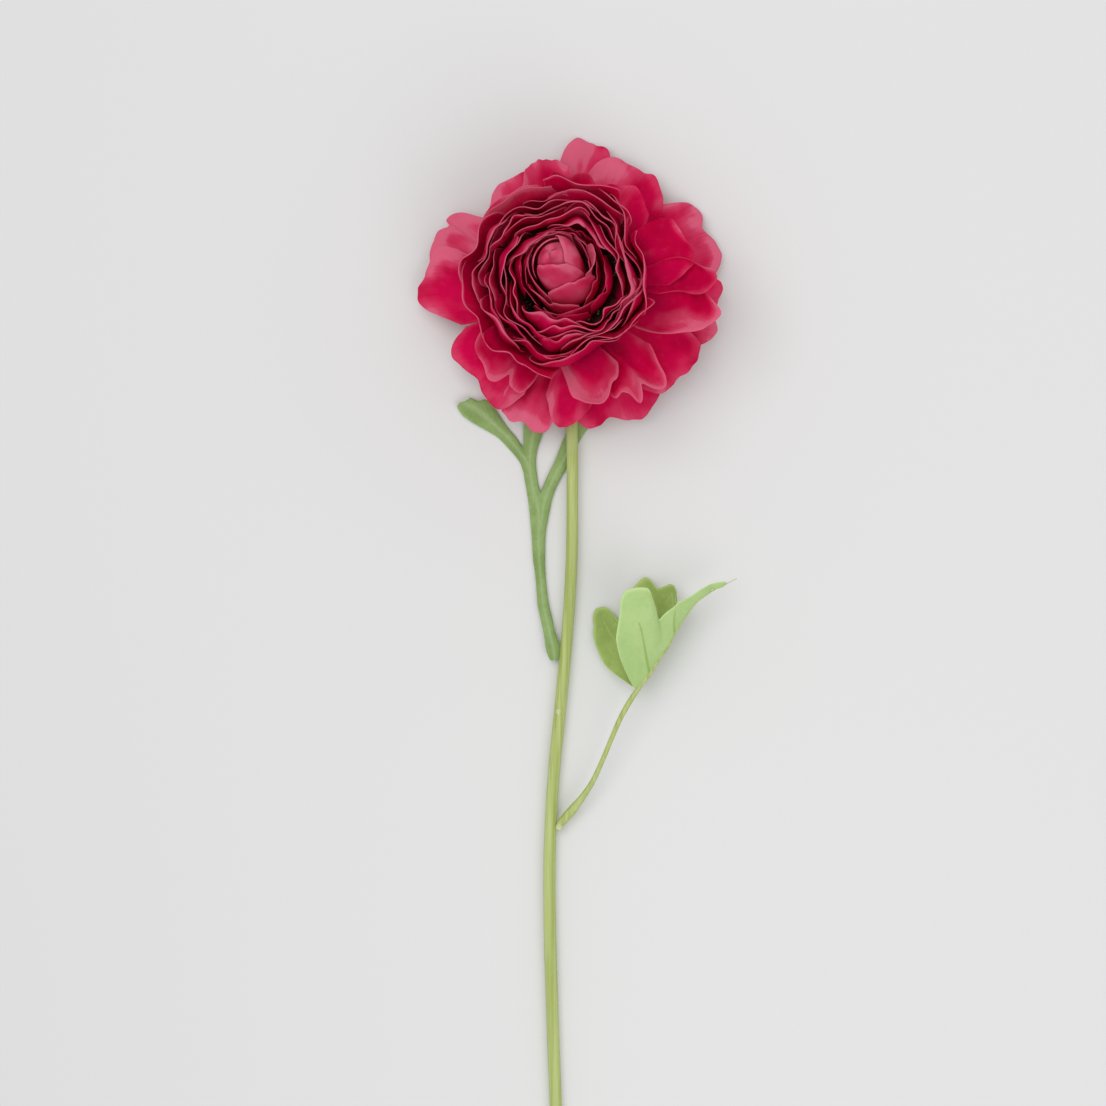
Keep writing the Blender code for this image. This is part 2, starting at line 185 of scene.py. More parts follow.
def lamp(name, place, size, power):
    """A round soft lamp that shines on the flower: place and width in metres, power in watts."""
    light = bpy.data.lights.new(name, "AREA")
    light.shape = "DISK"
    light.size = size
    light.energy = power
    made = bpy.data.objects.new(name, light)
    made.location = flower_foot + Vector(place)
    made.rotation_euler = (flower_foot - made.location).to_track_quat("-Z", "Y").to_euler()
    bpy.context.scene.collection.objects.link(made)


def room_and_view():
    room = bpy.data.worlds.new("white_room")
    room.use_nodes = True
    room.node_tree.nodes["Background"].inputs["Color"].default_value = (1, 1, 1, 1)
    room.node_tree.nodes["Background"].inputs["Strength"].default_value = 0.56
    bpy.context.scene.world = room
    bpy.context.scene.view_settings.view_transform = "Standard"
    lamp("soft_lamp", (-0.45, 0.35, 1.6), 1.5, 11.1)
    lamp("side_lamp", (0.6, -1.0, 1.3), 1.3, 5.8)
    lens = bpy.data.cameras.new("camera")
    lens.lens = 150
    lens.sensor_width = 36
    camera = bpy.data.objects.new("camera", lens)
    # straight down on a place beside the stem, far enough away to see down to the lower part of the stem
    camera.location = (flower_foot.x - 6.6 * MM, flower_foot.y - 94.0 * MM, 1.645)
    bpy.context.scene.collection.objects.link(camera)
    bpy.context.scene.camera = camera


table_top()
room_and_view()

# ----------------------------------------------------------------------
# The open petals at the back. A petal is a thin leaf of soft crimson tissue with a narrow claw, a
# broad wavy rim and fine veins that fan out from the claw; it grows from the receptacle, under
# those that opened later.

# In millimetres in the flower's own frame: its origin is the petals' foot and its Z is their axis
CLAW_RADIUS = 5.7  # where the outer claws leave the receptacle
OPEN_RADIUS = 52.0  # where the droop is measured
HEAD_HEIGHT = 18.0  # of the foot over the table
WARP_WAVE = 38.0  # length of the gentle waves that run through the whole flower
WARP_DEPTH = 1.1
FOLD_HEIGHT = 0.6  # of the few broad folds of an open petal
WRINKLE_HEIGHT = 0.35  # of its small wrinkles
STILL_HEIGHT = 5.0  # of the place on the axis from which the waves grow
STARTS = (0, 6.3)  # radians, where in its turn a random wave may start


def ease(value, low, high):
    """0 up to low, 1 from high on, and a smooth rise between them."""
    share = np.clip((value - low) / (high - low), 0, 1)
    return share * share * (3 - 2 * share)


def smooth_line(points, share):
    """Reads a Catmull-Rom curve through evenly spaced points at each share of its length from 0 to 1."""
    points = np.asarray(points, float)
    if points.ndim == 1:
        points = points[:, None]
    ends = np.vstack([2 * points[0] - points[1], points, 2 * points[-1] - points[-2]])
    place = np.clip(np.asarray(share, float), 0, 1) * (len(points) - 1)
    index = np.minimum(place.astype(int), len(points) - 2)
    t = (place - index)[..., None]
    before, start, end, after = (ends[index + step] for step in range(4))
    bend = -before + 3 * start - 3 * end + after
    pull = 2 * before - 5 * start + 4 * end - after
    return np.squeeze(start + ((end - before) * t + pull * t**2 + bend * t**3) / 2)


def warped(points):
    """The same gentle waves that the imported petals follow, in millimetres in the flower's own frame."""
    x, y, z = np.moveaxis(points * (2 * math.pi / WARP_WAVE), -1, 0)
    slow = (np.sin(y + 0.6 * z + 0.9), np.sin(z + 0.7 * x + 2.1), np.sin(x - 0.8 * y + 4.0))
    fast = (np.sin(1.7 * z - y), np.sin(1.6 * x + z + 1.3), np.sin(1.5 * y + x + 0.5))
    far = np.sqrt(points[..., 0] ** 2 + points[..., 1] ** 2 + (points[..., 2] - STILL_HEIGHT) ** 2)
    waves = np.stack(slow, -1) + 0.5 * np.stack(fast, -1)
    return points + waves * WARP_DEPTH * ease(far, 5, 22)[..., None]


def on_table(points):
    """Points in the flower's own frame, in millimetres, as places in the room, in metres."""
    return points @ np.array(flower_turn).T * MM + np.array(flower_foot)


def crinkle(u, v, seed, slow=3.0, fast=9.0):
    """Soft random waves from -1 to 1 over a petal, the same for the same seed."""
    draw = random.Random(seed)
    total = 0
    for size, share in ((slow, 0.6), (fast, 0.4)):
        for _ in range(3):
            along, across, start = draw.uniform(0.3, 1), draw.uniform(-1, 1), draw.uniform(*STARTS)
            total = total + share / 3 * np.sin(size * (along * v * 1.3 + across * u) + start)
    return total * 1.6


def thin_sheet(name, place, across, along, tone, finish, thickness, rim_thickness):
    """A thin closed sheet round the surface place(u, v), in metres in the room, with rounded edges.

    u runs from -1 to 1 across and v from 0 at the foot to 1 at the rim. The thicknesses are in mm.
    tone(u, v) gives the values of the sheet's attributes by name. They are kept on the mesh, with a
    UV map that follows the sheet's length.
    """
    u, v = np.meshgrid(np.linspace(-1, 1, across + 1), np.linspace(0, 1, along + 1))
    middle = place(u, v)
    side = np.gradient(middle, axis=1)
    length = np.gradient(middle, axis=0)
    normal = np.cross(side, length)
    normal /= np.maximum(np.linalg.norm(normal, axis=2, keepdims=True), 1e-12)
    edge = np.minimum(1 - np.abs(u), np.minimum(1 - v, v + 0.2))
    wall = (rim_thickness + (thickness - rim_thickness) * ease(edge, 0, 0.12))[..., None] * MM / 2
    front, back = middle + normal * wall, middle - normal * wall
    rows, columns = u.shape
    number = np.arange(rows * columns).reshape(rows, columns)
    loop = np.concatenate([number[0, :-1], number[:-1, -1], number[-1, :0:-1], number[:0:-1, 0]])
    flat = middle.reshape(-1, 3)
    outward = flat[loop] - flat[inner_neighbours(number)]
    outward /= np.maximum(np.linalg.norm(outward, axis=1, keepdims=True), 1e-12)
    lip = flat[loop] + outward * wall.reshape(-1, 1)[loop]
    count = rows * columns
    quads = np.stack([number[:-1, :-1], number[:-1, 1:], number[1:, 1:], number[1:, :-1]], -1)
    quads = quads.reshape(-1, 4)
    after = np.roll(loop, -1)
    ring = 2 * count + np.arange(len(loop))
    ring_after = np.roll(ring, -1)
    front_wall = np.stack([loop, ring, ring_after, after], -1)
    back_wall = np.stack([ring, loop + count, after + count, ring_after], -1)
    faces = np.vstack([quads, quads[:, ::-1] + count, front_wall, back_wall])
    mesh = bpy.data.meshes.new(name)
    mesh.from_pydata(np.vstack([front.reshape(-1, 3), back.reshape(-1, 3), lip]), [], faces.tolist())
    pairs = np.stack([u.ravel(), v.ravel()], -1)
    flow = np.vstack([pairs, pairs, pairs[loop]])
    uv = mesh.uv_layers.new(name="along_sheet")
    corners = np.empty(len(mesh.loops), int)
    mesh.loops.foreach_get("vertex_index", corners)
    uv.data.foreach_set("uv", flow[corners].astype(np.float32).ravel())
    for label, values in tone(flow[:, 0], flow[:, 1]).items():
        keep_attribute(mesh, label, values + 0 * flow[:, 0])
    return finished(name, mesh, finish)


def keep_attribute(mesh, label, values):
    kept = mesh.attributes.new(label, "FLOAT", "POINT")
    kept.data.foreach_set("value", np.clip(values, 0, 1).astype(np.float32))


def finished(name, mesh, finish):
    """Puts a mesh in the room as a smooth piece of the flower."""
    mesh.shade_smooth()
    mesh.materials.clear()
    mesh.materials.append(finish)
    made = bpy.data.objects.new(name, mesh)
    bpy.context.scene.collection.objects.link(made)
    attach(made, "root")
    return made


def petal(name, place, across, along, tone, thickness=0.36, rim_thickness=0.26):
    """A petal, from its surface in the flower's frame and from how pink it is (partly painted highlight),
    how much painted shade it has and how green it is.
    """

    def in_room(u, v):
        return on_table(place(u, v))

    def tones(u, v):
        return dict(zip(("pink", "shade", "green"), tone(u, v)))

    return thin_sheet(name, in_room, across, along, tones, petal_finish, thickness, rim_thickness)


def inner_neighbours(number):
    """For each vertex of the grid's edge, in the same order, the vertex next to it inside the grid."""
    inside = number.copy()
    inside[0], inside[-1] = number[1], number[-2]
    inside[:, 0] = inside[:, 1]
    inside[:, -1] = inside[:, -2]
    return np.concatenate([inside[0, :-1], inside[:-1, -1], inside[-1, :0:-1], inside[:0:-1, 0]])


def petal_tissue():
    """Crimson tissue: pink at the rims, partly its own colour and partly painted highlight, painted shade
    in the folds, green at the claw, with fine veins.
    """
    made = Finish("petal_tissue", Specular_IOR_Level=0.05)
    flow = made.node("ShaderNodeUVMap", {"uv_map": "along_sheet"})
    veins = made.noise(made.stretched(flow, (34, 1.6, 1)), 1.0, 3.0, 0.6)
    fine_veins = made.noise(made.stretched(flow, (110, 4, 1)), 1.0, 2.0)
    cloud = made.noise(made.place(), 82.0, 2.0, 0.5)
    mottle = made.noise(made.place(), 420.0, 2.0)
    pink, shade, green = (made.attribute(label) for label in ("pink", "shade", "green"))
    pinkness = (pink * 1.1 - 0.12 + (cloud - 0.5) * 1.3 + (veins - 0.5) * 0.28).rising(0.1, 0.95)
    body = pinkness.mixed((0.79, 0.001, 0.095), (0.85, 0.095, 0.215))
    # The palest pink where the pink is strongest, as on the rims: partly the rims' own paler colour and
    # partly painted highlight.
    body = (pinkness.rising(0.75, 1.0) * 0.6).mixed(body, (0.93, 0.22, 0.36))
    body = ((1 - pinkness) * (0.55 - cloud).rising(0.0, 0.25) * 0.55).mixed(body, (0.52, 0.0006, 0.045))
    body = ((fine_veins - 0.5).rising(0.0, 0.25) * 0.08).mixed(body, (0.28, 0.0, 0.03))
    body = ((mottle - 0.5).rising(0.0, 0.3) * 0.06).mixed(body, (0.85, 0.16, 0.28))
    # Painted shade: near black crimson where the shade attribute is high, in folds and between petals.
    body = (shade * 0.8).mixed(body, (0.17, 0.0, 0.02))
    body = green.mixed(body, (0.085, 0.085, 0.045))
    made.feed(Base_Color=body, Roughness=0.55 + cloud * 0.16)
    made.bumped(veins * 0.35 + fine_veins * 0.2 + mottle * 0.3, 0.0002)
    made.lit_through((0.85, 0.006, 0.07), 0.24)
    return made.material


petal_finish = petal_tissue()


def droop(turn):
    """How far an open petal hangs down at OPEN_RADIUS: on the flower's top side it reaches the table."""
    across, up = np.cos(turn) * OPEN_RADIUS, np.sin(turn) * OPEN_RADIUS
    above_table = HEAD_HEIGHT + LEAN * across - LEAN * up
    kept_up = 8.5 * ((1 - np.sin(turn)) / 2) ** 1.5 + 1.5 * np.maximum(0.0, np.cos(turn))
    return above_table - kept_up - 0.4


def open_height(radius, turn, level):
    """Height of an open petal. The levels are close together at the claw and fan out towards the rim."""
    share = radius / OPEN_RADIUS
    return 1.1 + 0.65 * level + 1.3 * level * share**2 - droop(turn) * share**1.7


def widening(v):
    """Width of a petal at v beside its rim's: 0.24 at the claw, 1 from three quarters on."""
    return 0.24 + 0.76 * ease(v, -0.15, 0.75)


# Each open petal: its imported node, level from the back, how pink it is at its right and its left
# edge, partly its own pink and partly painted highlight on its lit side, and its rim from right to
# left as azimuth (degrees), reach (mm) and how far the rim is lifted (mm)
OPEN_PETALS = (
    ("01", 0, (0.55, 0.55), (
        (139, 41, 1.5), (144, 48.5, 1), (151, 51.5, 0.8), (153.5, 50, 0.5), (158, 53.5, 0.3),
        (167, 54.3, 0.5), (173, 51.5, 0.8), (178, 44, 1.5))),
    ("02", 1, (0.32, 0.08), (
        (160, 44, 3), (163, 50, 3), (171, 53, 1.8), (177, 55.2, 1.2), (182, 55.6, 1), (188, 54, 1.5),
        (193, 49, 2.2), (197, 41, 3))),
    ("03", 1, (0.12, 0.6), (
        (104, 41, 1.5), (112, 45.5, 1), (118, 46.2, 1.6), (124, 47.5, 0.8), (129, 46, 1),
        (134, 43.5, 1.6), (139, 37, 2.5))),
    ("04", 2, (0.05, 0.42), (
        (92, 42, 2.5), (98, 46.5, 1.8), (103, 48.2, 1.5), (107, 47.8, 2.2), (112, 46.5, 1.8),
        (118, 41, 2.8))),
    ("05", 0, (0.05, 0.95), (
        (73, 45, 1.5), (77, 50.5, 1), (81, 51, 0.8), (84, 53, 0.6), (88, 54.2, 0.5), (92, 53.8, 0.5),
        (95.5, 51, 0.8), (98, 45, 1.5))),
    ("06", 1, (0.02, 0.6), (
        (37, 40, 5), (42, 46, 4), (47, 48.2, 2.8), (55, 50.8, 2.5), (60, 49.5, 3.2), (67, 49, 2.5),
        (74, 49.6, 2.5), (79, 46.5, 4), (84, 40, 6))),
    ("07", 0, (0.42, 0.38), (
        (3, 45, 1.5), (7, 51, 1.2), (13, 55.8, 0.8), (19, 55.2, 0.6), (25, 53.6, 1.2), (31, 55.8, 0.7),
        (37, 53.5, 1), (42, 46, 1.8))),
    ("08", 1, (0.35, 0.15), (
        (-26, 46, 2), (-21, 53, 1.5), (-16, 55.4, 1.2), (-10, 54, 2.2), (-4, 54.8, 1), (1, 54.6, 1.5),
        (5, 51, 2.5), (9, 45, 3.5))),
    ("09", 2, (0.02, 0.18), (
        (-56, 44, 2.5), (-51, 49.5, 1.8), (-46, 51.2, 1.2), (-40, 50.3, 2), (-34, 50.8, 1.4),
        (-28, 52, 1.2), (-22, 50.5, 2.2), (-17, 43, 3))),
    ("10", 0, (0.12, 0.16), (
        (-87, 47, 1.5), (-82, 51.5, 1), (-77, 53, 0.8), (-71, 51.6, 1.4), (-65, 53.8, 0.8),
        (-60, 55.4, 0.8), (-54, 53, 1.4), (-49, 50, 2), (-46, 44, 2.5))),
    ("11", 2, (0.08, 0.1), (
        (-103, 40, 2.5), (-98, 46.5, 1.6), (-92, 50.6, 1), (-87, 50.4, 1), (-81, 47, 1.8),
        (-76, 40, 2.6))),
    ("12", 1, (0.2, 0.3), (
        (-124, 44, 2), (-119, 49.5, 1.4), (-113, 52, 1), (-108, 50.4, 1.8), (-102, 53.6, 0.8),
        (-97, 50.5, 1.2), (-93, 44, 2))),
    ("13", 2, (0.05, 0.12), (
        (-162, 40, 3.5), (-157, 44.5, 2.5), (-150, 50.2, 1.2), (-145, 49.6, 1.2), (-138, 47.2, 2.2),
        (-132, 48.6, 1.4), (-125, 49.8, 1), (-119, 49, 1.6), (-114, 43, 2.6))),
)


def pink_patches(u, v, seed):
    """From 0 to 1 in three soft spots near a petal's rim."""
    draw = random.Random(seed + "patches")
    total = 0
    for _ in range(3):
        u_spot, v_spot = draw.uniform(-0.9, 0.9), draw.uniform(0.5, 1.0)
        wide, long = draw.uniform(0.1, 0.3), draw.uniform(0.12, 0.3)
        total = total + np.exp(-(((u - u_spot) / wide) ** 2) - ((v - v_spot) / long) ** 2)
    return np.minimum(total, 1.0)


def rim_line(rim, u, v):
    """The turn (radians) of a petal's point at u and v, and the reach and lift of its rim at u."""
    azimuth, reach, lift = np.moveaxis(smooth_line(rim, (u + 1) / 2), -1, 0)
    middle = (rim[0][0] + rim[-1][0]) / 2
    return np.radians(middle + (azimuth - middle) * widening(v)), reach, lift


def near_edge(u, v, rim, side, side_share, low, high):
    """Near 1 from v = rim on, and near side_share from u = side on where v is over high."""
    sides = side_share * ease(np.abs(u), side, 1.0) * ease(v, low, high)
    return np.maximum(ease(v, rim, 1.0), sides)


def frilled(u, v, seed, size=0.7):
    """The small scallops of a petal's rim, in millimetres."""
    draw = random.Random(seed)
    first, second, third = (draw.uniform(*STARTS) for _ in range(3))
    scallops = np.abs(np.sin(3.6 * u + first))
    scallops = scallops + 0.3 * np.sin(9 * u + second) + 0.15 * np.sin(19 * u + third)
    return (size * (scallops - 0.6) + 0.25 * crinkle(u, 0 * v, seed, 15, 31)) * ease(v, 0.75, 1.0)


def round_axis(radius, turn, height, aside=0.0):
    """Points at a radius, a turn and a height round the flower's axis.

    They are moved against the flower's lean by the share aside. With a share of 1, a point lies at its
    radius as seen from straight above.
    """
    x = radius * np.cos(turn) + LEAN * height * aside
    y = radius * np.sin(turn) - LEAN * height * aside
    return np.stack([x, y, height], -1)


def open_petal(number, level, pinkness, rim):
    seed = f"open_{number}"
    draw = random.Random(seed)
    folds, fold_start = draw.uniform(1.3, 2.4), draw.uniform(*STARTS)

    def place(u, v):
        turn, reach, lift = rim_line(rim, u, v)
        radius = CLAW_RADIUS + (0.98 * reach + frilled(u, v, seed) - CLAW_RADIUS) * v
        height = open_height(radius, turn, level) + lift * v**3
        height = height + FOLD_HEIGHT * np.sin(folds * math.pi * u + fold_start) * ease(v, 0.25, 1.0)
        height = height + WRINKLE_HEIGHT * crinkle(u, v, seed) * ease(v, 0.2, 0.8)
        on_top = 0.35 - (HEAD_HEIGHT + LEAN * radius * (np.cos(turn) - np.sin(turn)))  # of the table
        height = np.maximum(height, on_top + 0.25 * level)
        return warped(round_axis(radius, turn, height, v))

    def tone(u, v):
        right, left = pinkness
        # Pink: partly the petal's own colour and partly painted highlight, on its lit side and along its
        # rim.
        lit_side_and_pink = right + (left - right) * ease(u, -0.5, 0.5)
        pink = lit_side_and_pink * (0.25 + 0.75 * ease(v, 0.35, 0.85))
        pink = pink + 0.55 * near_edge(u, v, 0.8, 0.8, 0.7, 0.3, 0.7)
        pink = pink + 0.15 * crinkle(u, v, seed + "tone") + 0.36 * pink_patches(u, v, seed)
        # Painted shade towards the claw, where the petals above cover it.
        return pink, 0.6 * (1 - ease(v, 0.2, 0.5)), 0.9 * (1 - ease(v, 0.02, 0.12))

    made = petal(f"open_petal_{number}", place, 56, 44, tone)
    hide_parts(f"outer_petal_{number}")


for node, level, pinkness, rim in OPEN_PETALS:
    open_petal(node, level, pinkness, rim)

# ----------------------------------------------------------------------
# The half-open petals between the ball and the open ones. They are cupped and shorter, of the same
# tissue, grow from the receptacle too, and show their lobed pink rims in front of the open petals.

# A petal's bowl is the curve from its claw to its rim: four control points (radius, height in mm)
SKIRT_INNER = ((5.5, 4.2), (24.0, 5.0), (36.0, 11.0), (43.0, 18.0))
SKIRT_OUTER = ((5.5, 3.5), (25.0, 3.0), (38.0, 6.0), (47.0, 10.5))


def between(inner, outer, share):
    """The bowl some share of the way between two others."""
    return np.array(inner) + (np.array(outer) - np.array(inner)) * share


def along_bowl(bowl, w):
    """The point at w along a bowl and the way out from it, each as a radius and a height."""
    a, b, c, d = bowl
    w = np.asarray(w, float)[..., None]
    k = 1 - w
    spot = a * k**3 + b * 3 * k * k * w + c * 3 * k * w * w + d * w**3
    slope = (b - a) * k * k + (c - b) * 2 * k * w + (d - c) * w * w
    away = np.stack([slope[..., 1], -slope[..., 0]], -1)
    return spot, away / np.linalg.norm(away, axis=-1, keepdims=True)


def reached(bowl, radius):
    """How far along a bowl that widens all the way a radius is reached."""
    steps = np.linspace(0, 1.3, 200)
    return np.interp(radius, along_bowl(bowl, steps)[0][:, 0], steps)


# Each half-open petal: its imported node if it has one, share of the way from the inner to the outer
# bowl, how pink it is, and its rim from right to left as azimuth (degrees), reach (mm) and lift
# (mm)
SKIRT_PETALS = (
    ("1", 0.3, 0.02, (
        (-2, 33, 0), (3, 39, 0), (10, 43, -1), (18, 44.2, -1), (26, 42.2, -0.5), (33, 40, 0),
        (38, 35, 0.5))),
    ("2", 0.7, -0.1, (
        (34, 31, 1), (40, 36, 1), (48, 39, 0), (56, 40, 0), (64, 39, 0.5), (71, 38, 1), (78, 33, 1.5))),
    ("3", 0, 0.15, (
        (73, 33, 0.5), (79, 38, 0), (86, 40.5, 0), (92, 40.8, 0), (98, 41, 0), (104, 39, 0.5),
        (111, 33, 1))),
    ("4", 0.8, 0.25, (
        (105, 33, 1), (110, 37.5, 0.5), (117, 39.5, 0), (126, 39, 0.8), (134, 39.5, 0), (142, 38, 0.5),
        (150, 33, 1))),
    ("5", 0.2, 0.15, (
        (154, 32, 1), (162, 37, 0), (172, 38.5, 0), (182, 38.5, 0), (192, 37, 0), (200, 32, 1))),
    ("6", 0.8, 0.4, (
        (-152, 34, 0.5), (-146, 40, 0), (-138, 42.8, -0.5), (-132, 45.4, -0.8), (-128.5, 44, 0),
        (-125.8, 39.6, 1), (-122.5, 42.6, 0), (-118, 43.4, -0.8), (-114, 41, 0), (-111, 33, 1))),
    ("7", 0.1, 0.6, (
        (-100, 27, 1), (-94.5, 33, 0.5), (-89.3, 38.2, 0), (-85, 41.5, 0), (-80, 42.4, 0), (-75, 42.2, 0),
        (-70, 39.5, 0.5), (-65, 37.5, 0.5), (-60, 32, 1))),
    ("8", 0.9, 0.3, (
        (-74, 36, 0.5), (-70, 43, 0), (-66, 42.6, 1), (-63.3, 44, 1), (-61, 48.6, -0.5), (-58.5, 47.4, 0),
        (-55.8, 44, 1.5), (-52.5, 48.4, -0.5), (-49.5, 49.2, -1), (-46.5, 46.5, 0), (-43, 41, 0.5),
        (-37, 36, 1))),
    ("", 0.9, 0.42, (
        (-32, 29, 1), (-30, 35, 1.2), (-28, 41, 0.8), (-23.5, 45.8, 0), (-18.5, 49.2, -0.5),
        (-14, 52, -1.5), (-10, 52, -0.5), (-5, 47.5, 1.5), (-1, 44, 1.5), (3, 36, 1))),
    ("", 0.55, 0.05, (
        (-7, 31, 1), (-6, 38, 1.5), (-5, 43.5, 1), (-1, 48, 0), (2.5, 50.4, 0), (6, 50.2, 0),
        (9, 47, 0.5), (11.5, 41, 1), (13, 34, 1.5))),
)


def skirt_petal(index, node, share, pinkness, rim):
    seed = f"skirt_{index}"
    draw = random.Random(seed)
    folds, fold_start = draw.uniform(1.4, 2.4), draw.uniform(*STARTS)
    bowl = between(SKIRT_INNER, SKIRT_OUTER, share)

    def place(u, v):
        turn, reach, lift = rim_line(rim, u, v)
        spot, away = along_bowl(bowl, reached(bowl, reach + frilled(u, 1.0, seed, 0.6)) * v)
        wave = 0.8 * np.sin(folds * math.pi * u + fold_start) + 0.5 * crinkle(u, v, seed)
        spot = spot + away * (wave * ease(v, 0.3, 1.0))[..., None]
        height = spot[..., 1] + (lift + 1.0) * v**2
        return warped(round_axis(spot[..., 0], turn, height, v))

    def tone(u, v):
        # Pink rims: partly their own colour and partly painted highlight.
        pink = pinkness * ease(v, 0.55, 0.9) + 0.5 * near_edge(u, v, 0.86, 0.85, 0.6, 0.4, 0.8)
        pink = pink + 0.15 * crinkle(u, v, seed + "tone") + 0.36 * pink_patches(u, v, seed)
        # Painted shade towards the claw, under the ball.
        return pink, 0.7 * (1 - ease(v, 0.3, 0.62)), 0.9 * (1 - ease(v, 0.02, 0.15))

    made = petal(f"skirt_petal_{index + 1}_shape", place, 52, 40, tone)
    if node:
        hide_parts(f"skirt_petal_{node}")


for index, (node, share, pinkness, rim) in enumerate(SKIRT_PETALS):
    skirt_petal(index, node, share, pinkness, rim)

# ----------------------------------------------------------------------
# The ball: close whorls of upright cupped petals of the same tissue, each petal tucked behind one
# neighbour and in front of the other. The whorls crumple alike, so their thin bright rims run side
# by side in waves.

RING_INNER = ((4.5, 6.8), (21.0, 7.0), (22.5, 25.0), (15.8, 36.0))
RING_OUTER = ((5.2, 4.9), (27.5, 5.0), (31.0, 18.0), (28.0, 31.0))
OPEN_SIDE = 120  # degrees, the side on which the ball's petals have opened furthest
# How far the innermost and the outermost whorl lean for each millimetre of height over DRIFT_FOOT
INNER_DRIFT = (0.09, -0.12, 0)
OUTER_DRIFT = (-0.10, -0.02, 0)
DRIFT_FOOT = 8

# Each whorl: share of the way from the inner to the outer bowl, petals, half width and first
# azimuth (degrees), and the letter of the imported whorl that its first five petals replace
RING_WHORLS = (
    (0.00, 6, 38, 10, "a"),
    (0.16, 6, 37, 42, ""),
    (0.33, 7, 33, 15, "b"),
    (0.50, 8, 29, 47, ""),
    (0.67, 8, 29, 22, "c"),
    (0.84, 9, 26, 62, ""),
    (1.00, 9, 27, 121, "d"),
)


def crumple(turn, layer):
    """How far the ball's rims bend in and out (mm). The waves turn slowly from whorl to whorl."""
    long_waves = 0.9 * np.sin(5 * turn + 2.6 * layer + 1.0) + 0.7 * np.sin(8 * turn - 3.1 * layer + 4.0)
    return long_waves + 0.4 * np.sin(13 * turn + 4.5 * layer + 2.0)


def rounded_rim(u, v, seed, corners, power, notch, notch_place, notch_width, ruffle):
    """How far up its bowl a rim is at u: less at its corners and its notch, and slightly ruffled."""
    rim = 1 - corners * np.abs(u) ** power - notch * np.exp(-(((u - notch_place) / notch_width) ** 2))
    return rim + ruffle * crinkle(u, 0 * v, seed, 6, 15)


def upright_turn(u, v, azimuth, half_width, pinched):
    """The turn (radians) of an upright petal's points: narrow at the claw and pinched at the rim."""
    return np.radians(azimuth + half_width * u * widening(v) * (1 - pinched * ease(v, 0.8, 1.15)))


def ball_petal(whorl, number, share, azimuth, half_width, letter):
    seed = f"ring_{whorl}_{number}"
    draw = random.Random(seed)
    bowl = between(RING_INNER, RING_OUTER, share)
    azimuth += draw.uniform(-7, 7)
    half_width *= draw.uniform(0.85, 1.18)
    reach, notch, notch_place = draw.uniform(0.84, 1.03), draw.uniform(0, 0.09), draw.uniform(-0.5, 0.5)
    curl, cup, ripples = draw.uniform(-1.0, 2.6), draw.uniform(-1.4, 1.4), draw.uniform(0.4, 1.1)
    open_side = max(0.0, math.cos(math.radians(azimuth - OPEN_SIDE)))
    pinkness = draw.uniform(-0.1, 0.3) + 0.3 * open_side
    rim_start, rim_pink_and_highlight = draw.uniform(0.90, 0.97), draw.uniform(0.6, 1.3)
    # how far the rim leans out (mm): more on the open side, and much more in the last two whorls
    leaned_out = (0.4 + 2.8 * open_side * share) * draw.uniform(0.1, 1.5)
    leaned_out += 8 * max(0.0, share - 0.75) * draw.uniform(0.0, 1.4)

    def place(u, v):
        w = v * rounded_rim(u, v, seed, 0.15, 2.3, notch, notch_place, 0.16, 0.018) * reach
        spot, away = along_bowl(bowl, w)
        turn = upright_turn(u, v, azimuth, half_width, 0.15)
        bend = (1 + 0.4 * share) * crumple(turn, share) * ease(w, 0.35, 1.0)
        bend = bend + ripples * crinkle(u, v, seed, 4, 13) * ease(w, 0.55, 1.0)
        tucked = 0.8 * u * ease(v, 0.15, 0.75) + cup * (u * u - 0.3) * ease(v, 0.5, 1.0)
        lip = curl * ease(v, 0.78, 1.0) ** 2 + leaned_out * ease(v, 0.4, 1.0) ** 1.5
        spot = spot + away * (tucked + bend + lip)[..., None]
        points = round_axis(spot[..., 0], turn, spot[..., 1])
        drift = (1 - share) * np.array(INNER_DRIFT) + share * np.array(OUTER_DRIFT)
        return warped(points + np.maximum(0.0, points[..., 2:] - DRIFT_FOOT) * drift)

    def tone(u, v):
        # Pink rims: partly their own colour and partly painted highlight.
        pink = pinkness * ease(v, 0.7, 0.95) + rim_pink_and_highlight * near_edge(u, v, rim_start, 0.92, 0.8, 0.5, 0.9)
        pink = pink + 0.25 * pink_patches(u, v, seed)
        green = 0.9 * (1 - ease(v, 0.3, 0.65)) * (1 - share) ** 2
        # Painted shade: a little over the whole petal, and deep towards the claw, between the whorls.
        return pink, 0.1 + 0.75 * (1 - ease(v, 0.5, 0.93)), green

    made = petal(f"ball_petal_{whorl + 1}_{number + 1}", place, 36, 28, tone, 0.32, 0.28)
    if letter and number < 5:
        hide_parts(f"ring_petal_{letter}{number + 1}")


for whorl, (share, count, half_width, first, letter) in enumerate(RING_WHORLS):
    for number in range(count):
        ball_petal(whorl, number, share, first + 360 / count * number, half_width, letter)

# ----------------------------------------------------------------------
# The heart: smaller, pinker petals of the same tissue wrapped round the closed bud in the flower's
# middle. The bud leans to the flower's top side, and the petals below it have opened a little
# further than those above.

HEART_FOOT = 8.0
HEART_LEAN = (-0.06, 0.13, 0)  # how far the bud leans for each millimetre of height over HEART_FOOT
BUD_INNER = ((2.0, 9.5), (9.0, 11.0), (8.6, 34.5), (-0.3, 37.6))
BUD_OUTER = ((3.2, 9.2), (10.4, 10.0), (11.0, 30.0), (5.4, 37.0))
HEART_INNER = ((3.8, 8.8), (11.6, 9.5), (13.8, 24.0), (7.6, 34.6))
HEART_OUTER = ((4.1, 7.5), (17.0, 8.0), (19.6, 22.0), (13.4, 31.5))
LONE_BOWL = ((4.0, 8.2), (12.0, 9.5), (8.4, 35.5), (19.8, 38.8))  # of the pale petal that stands alone

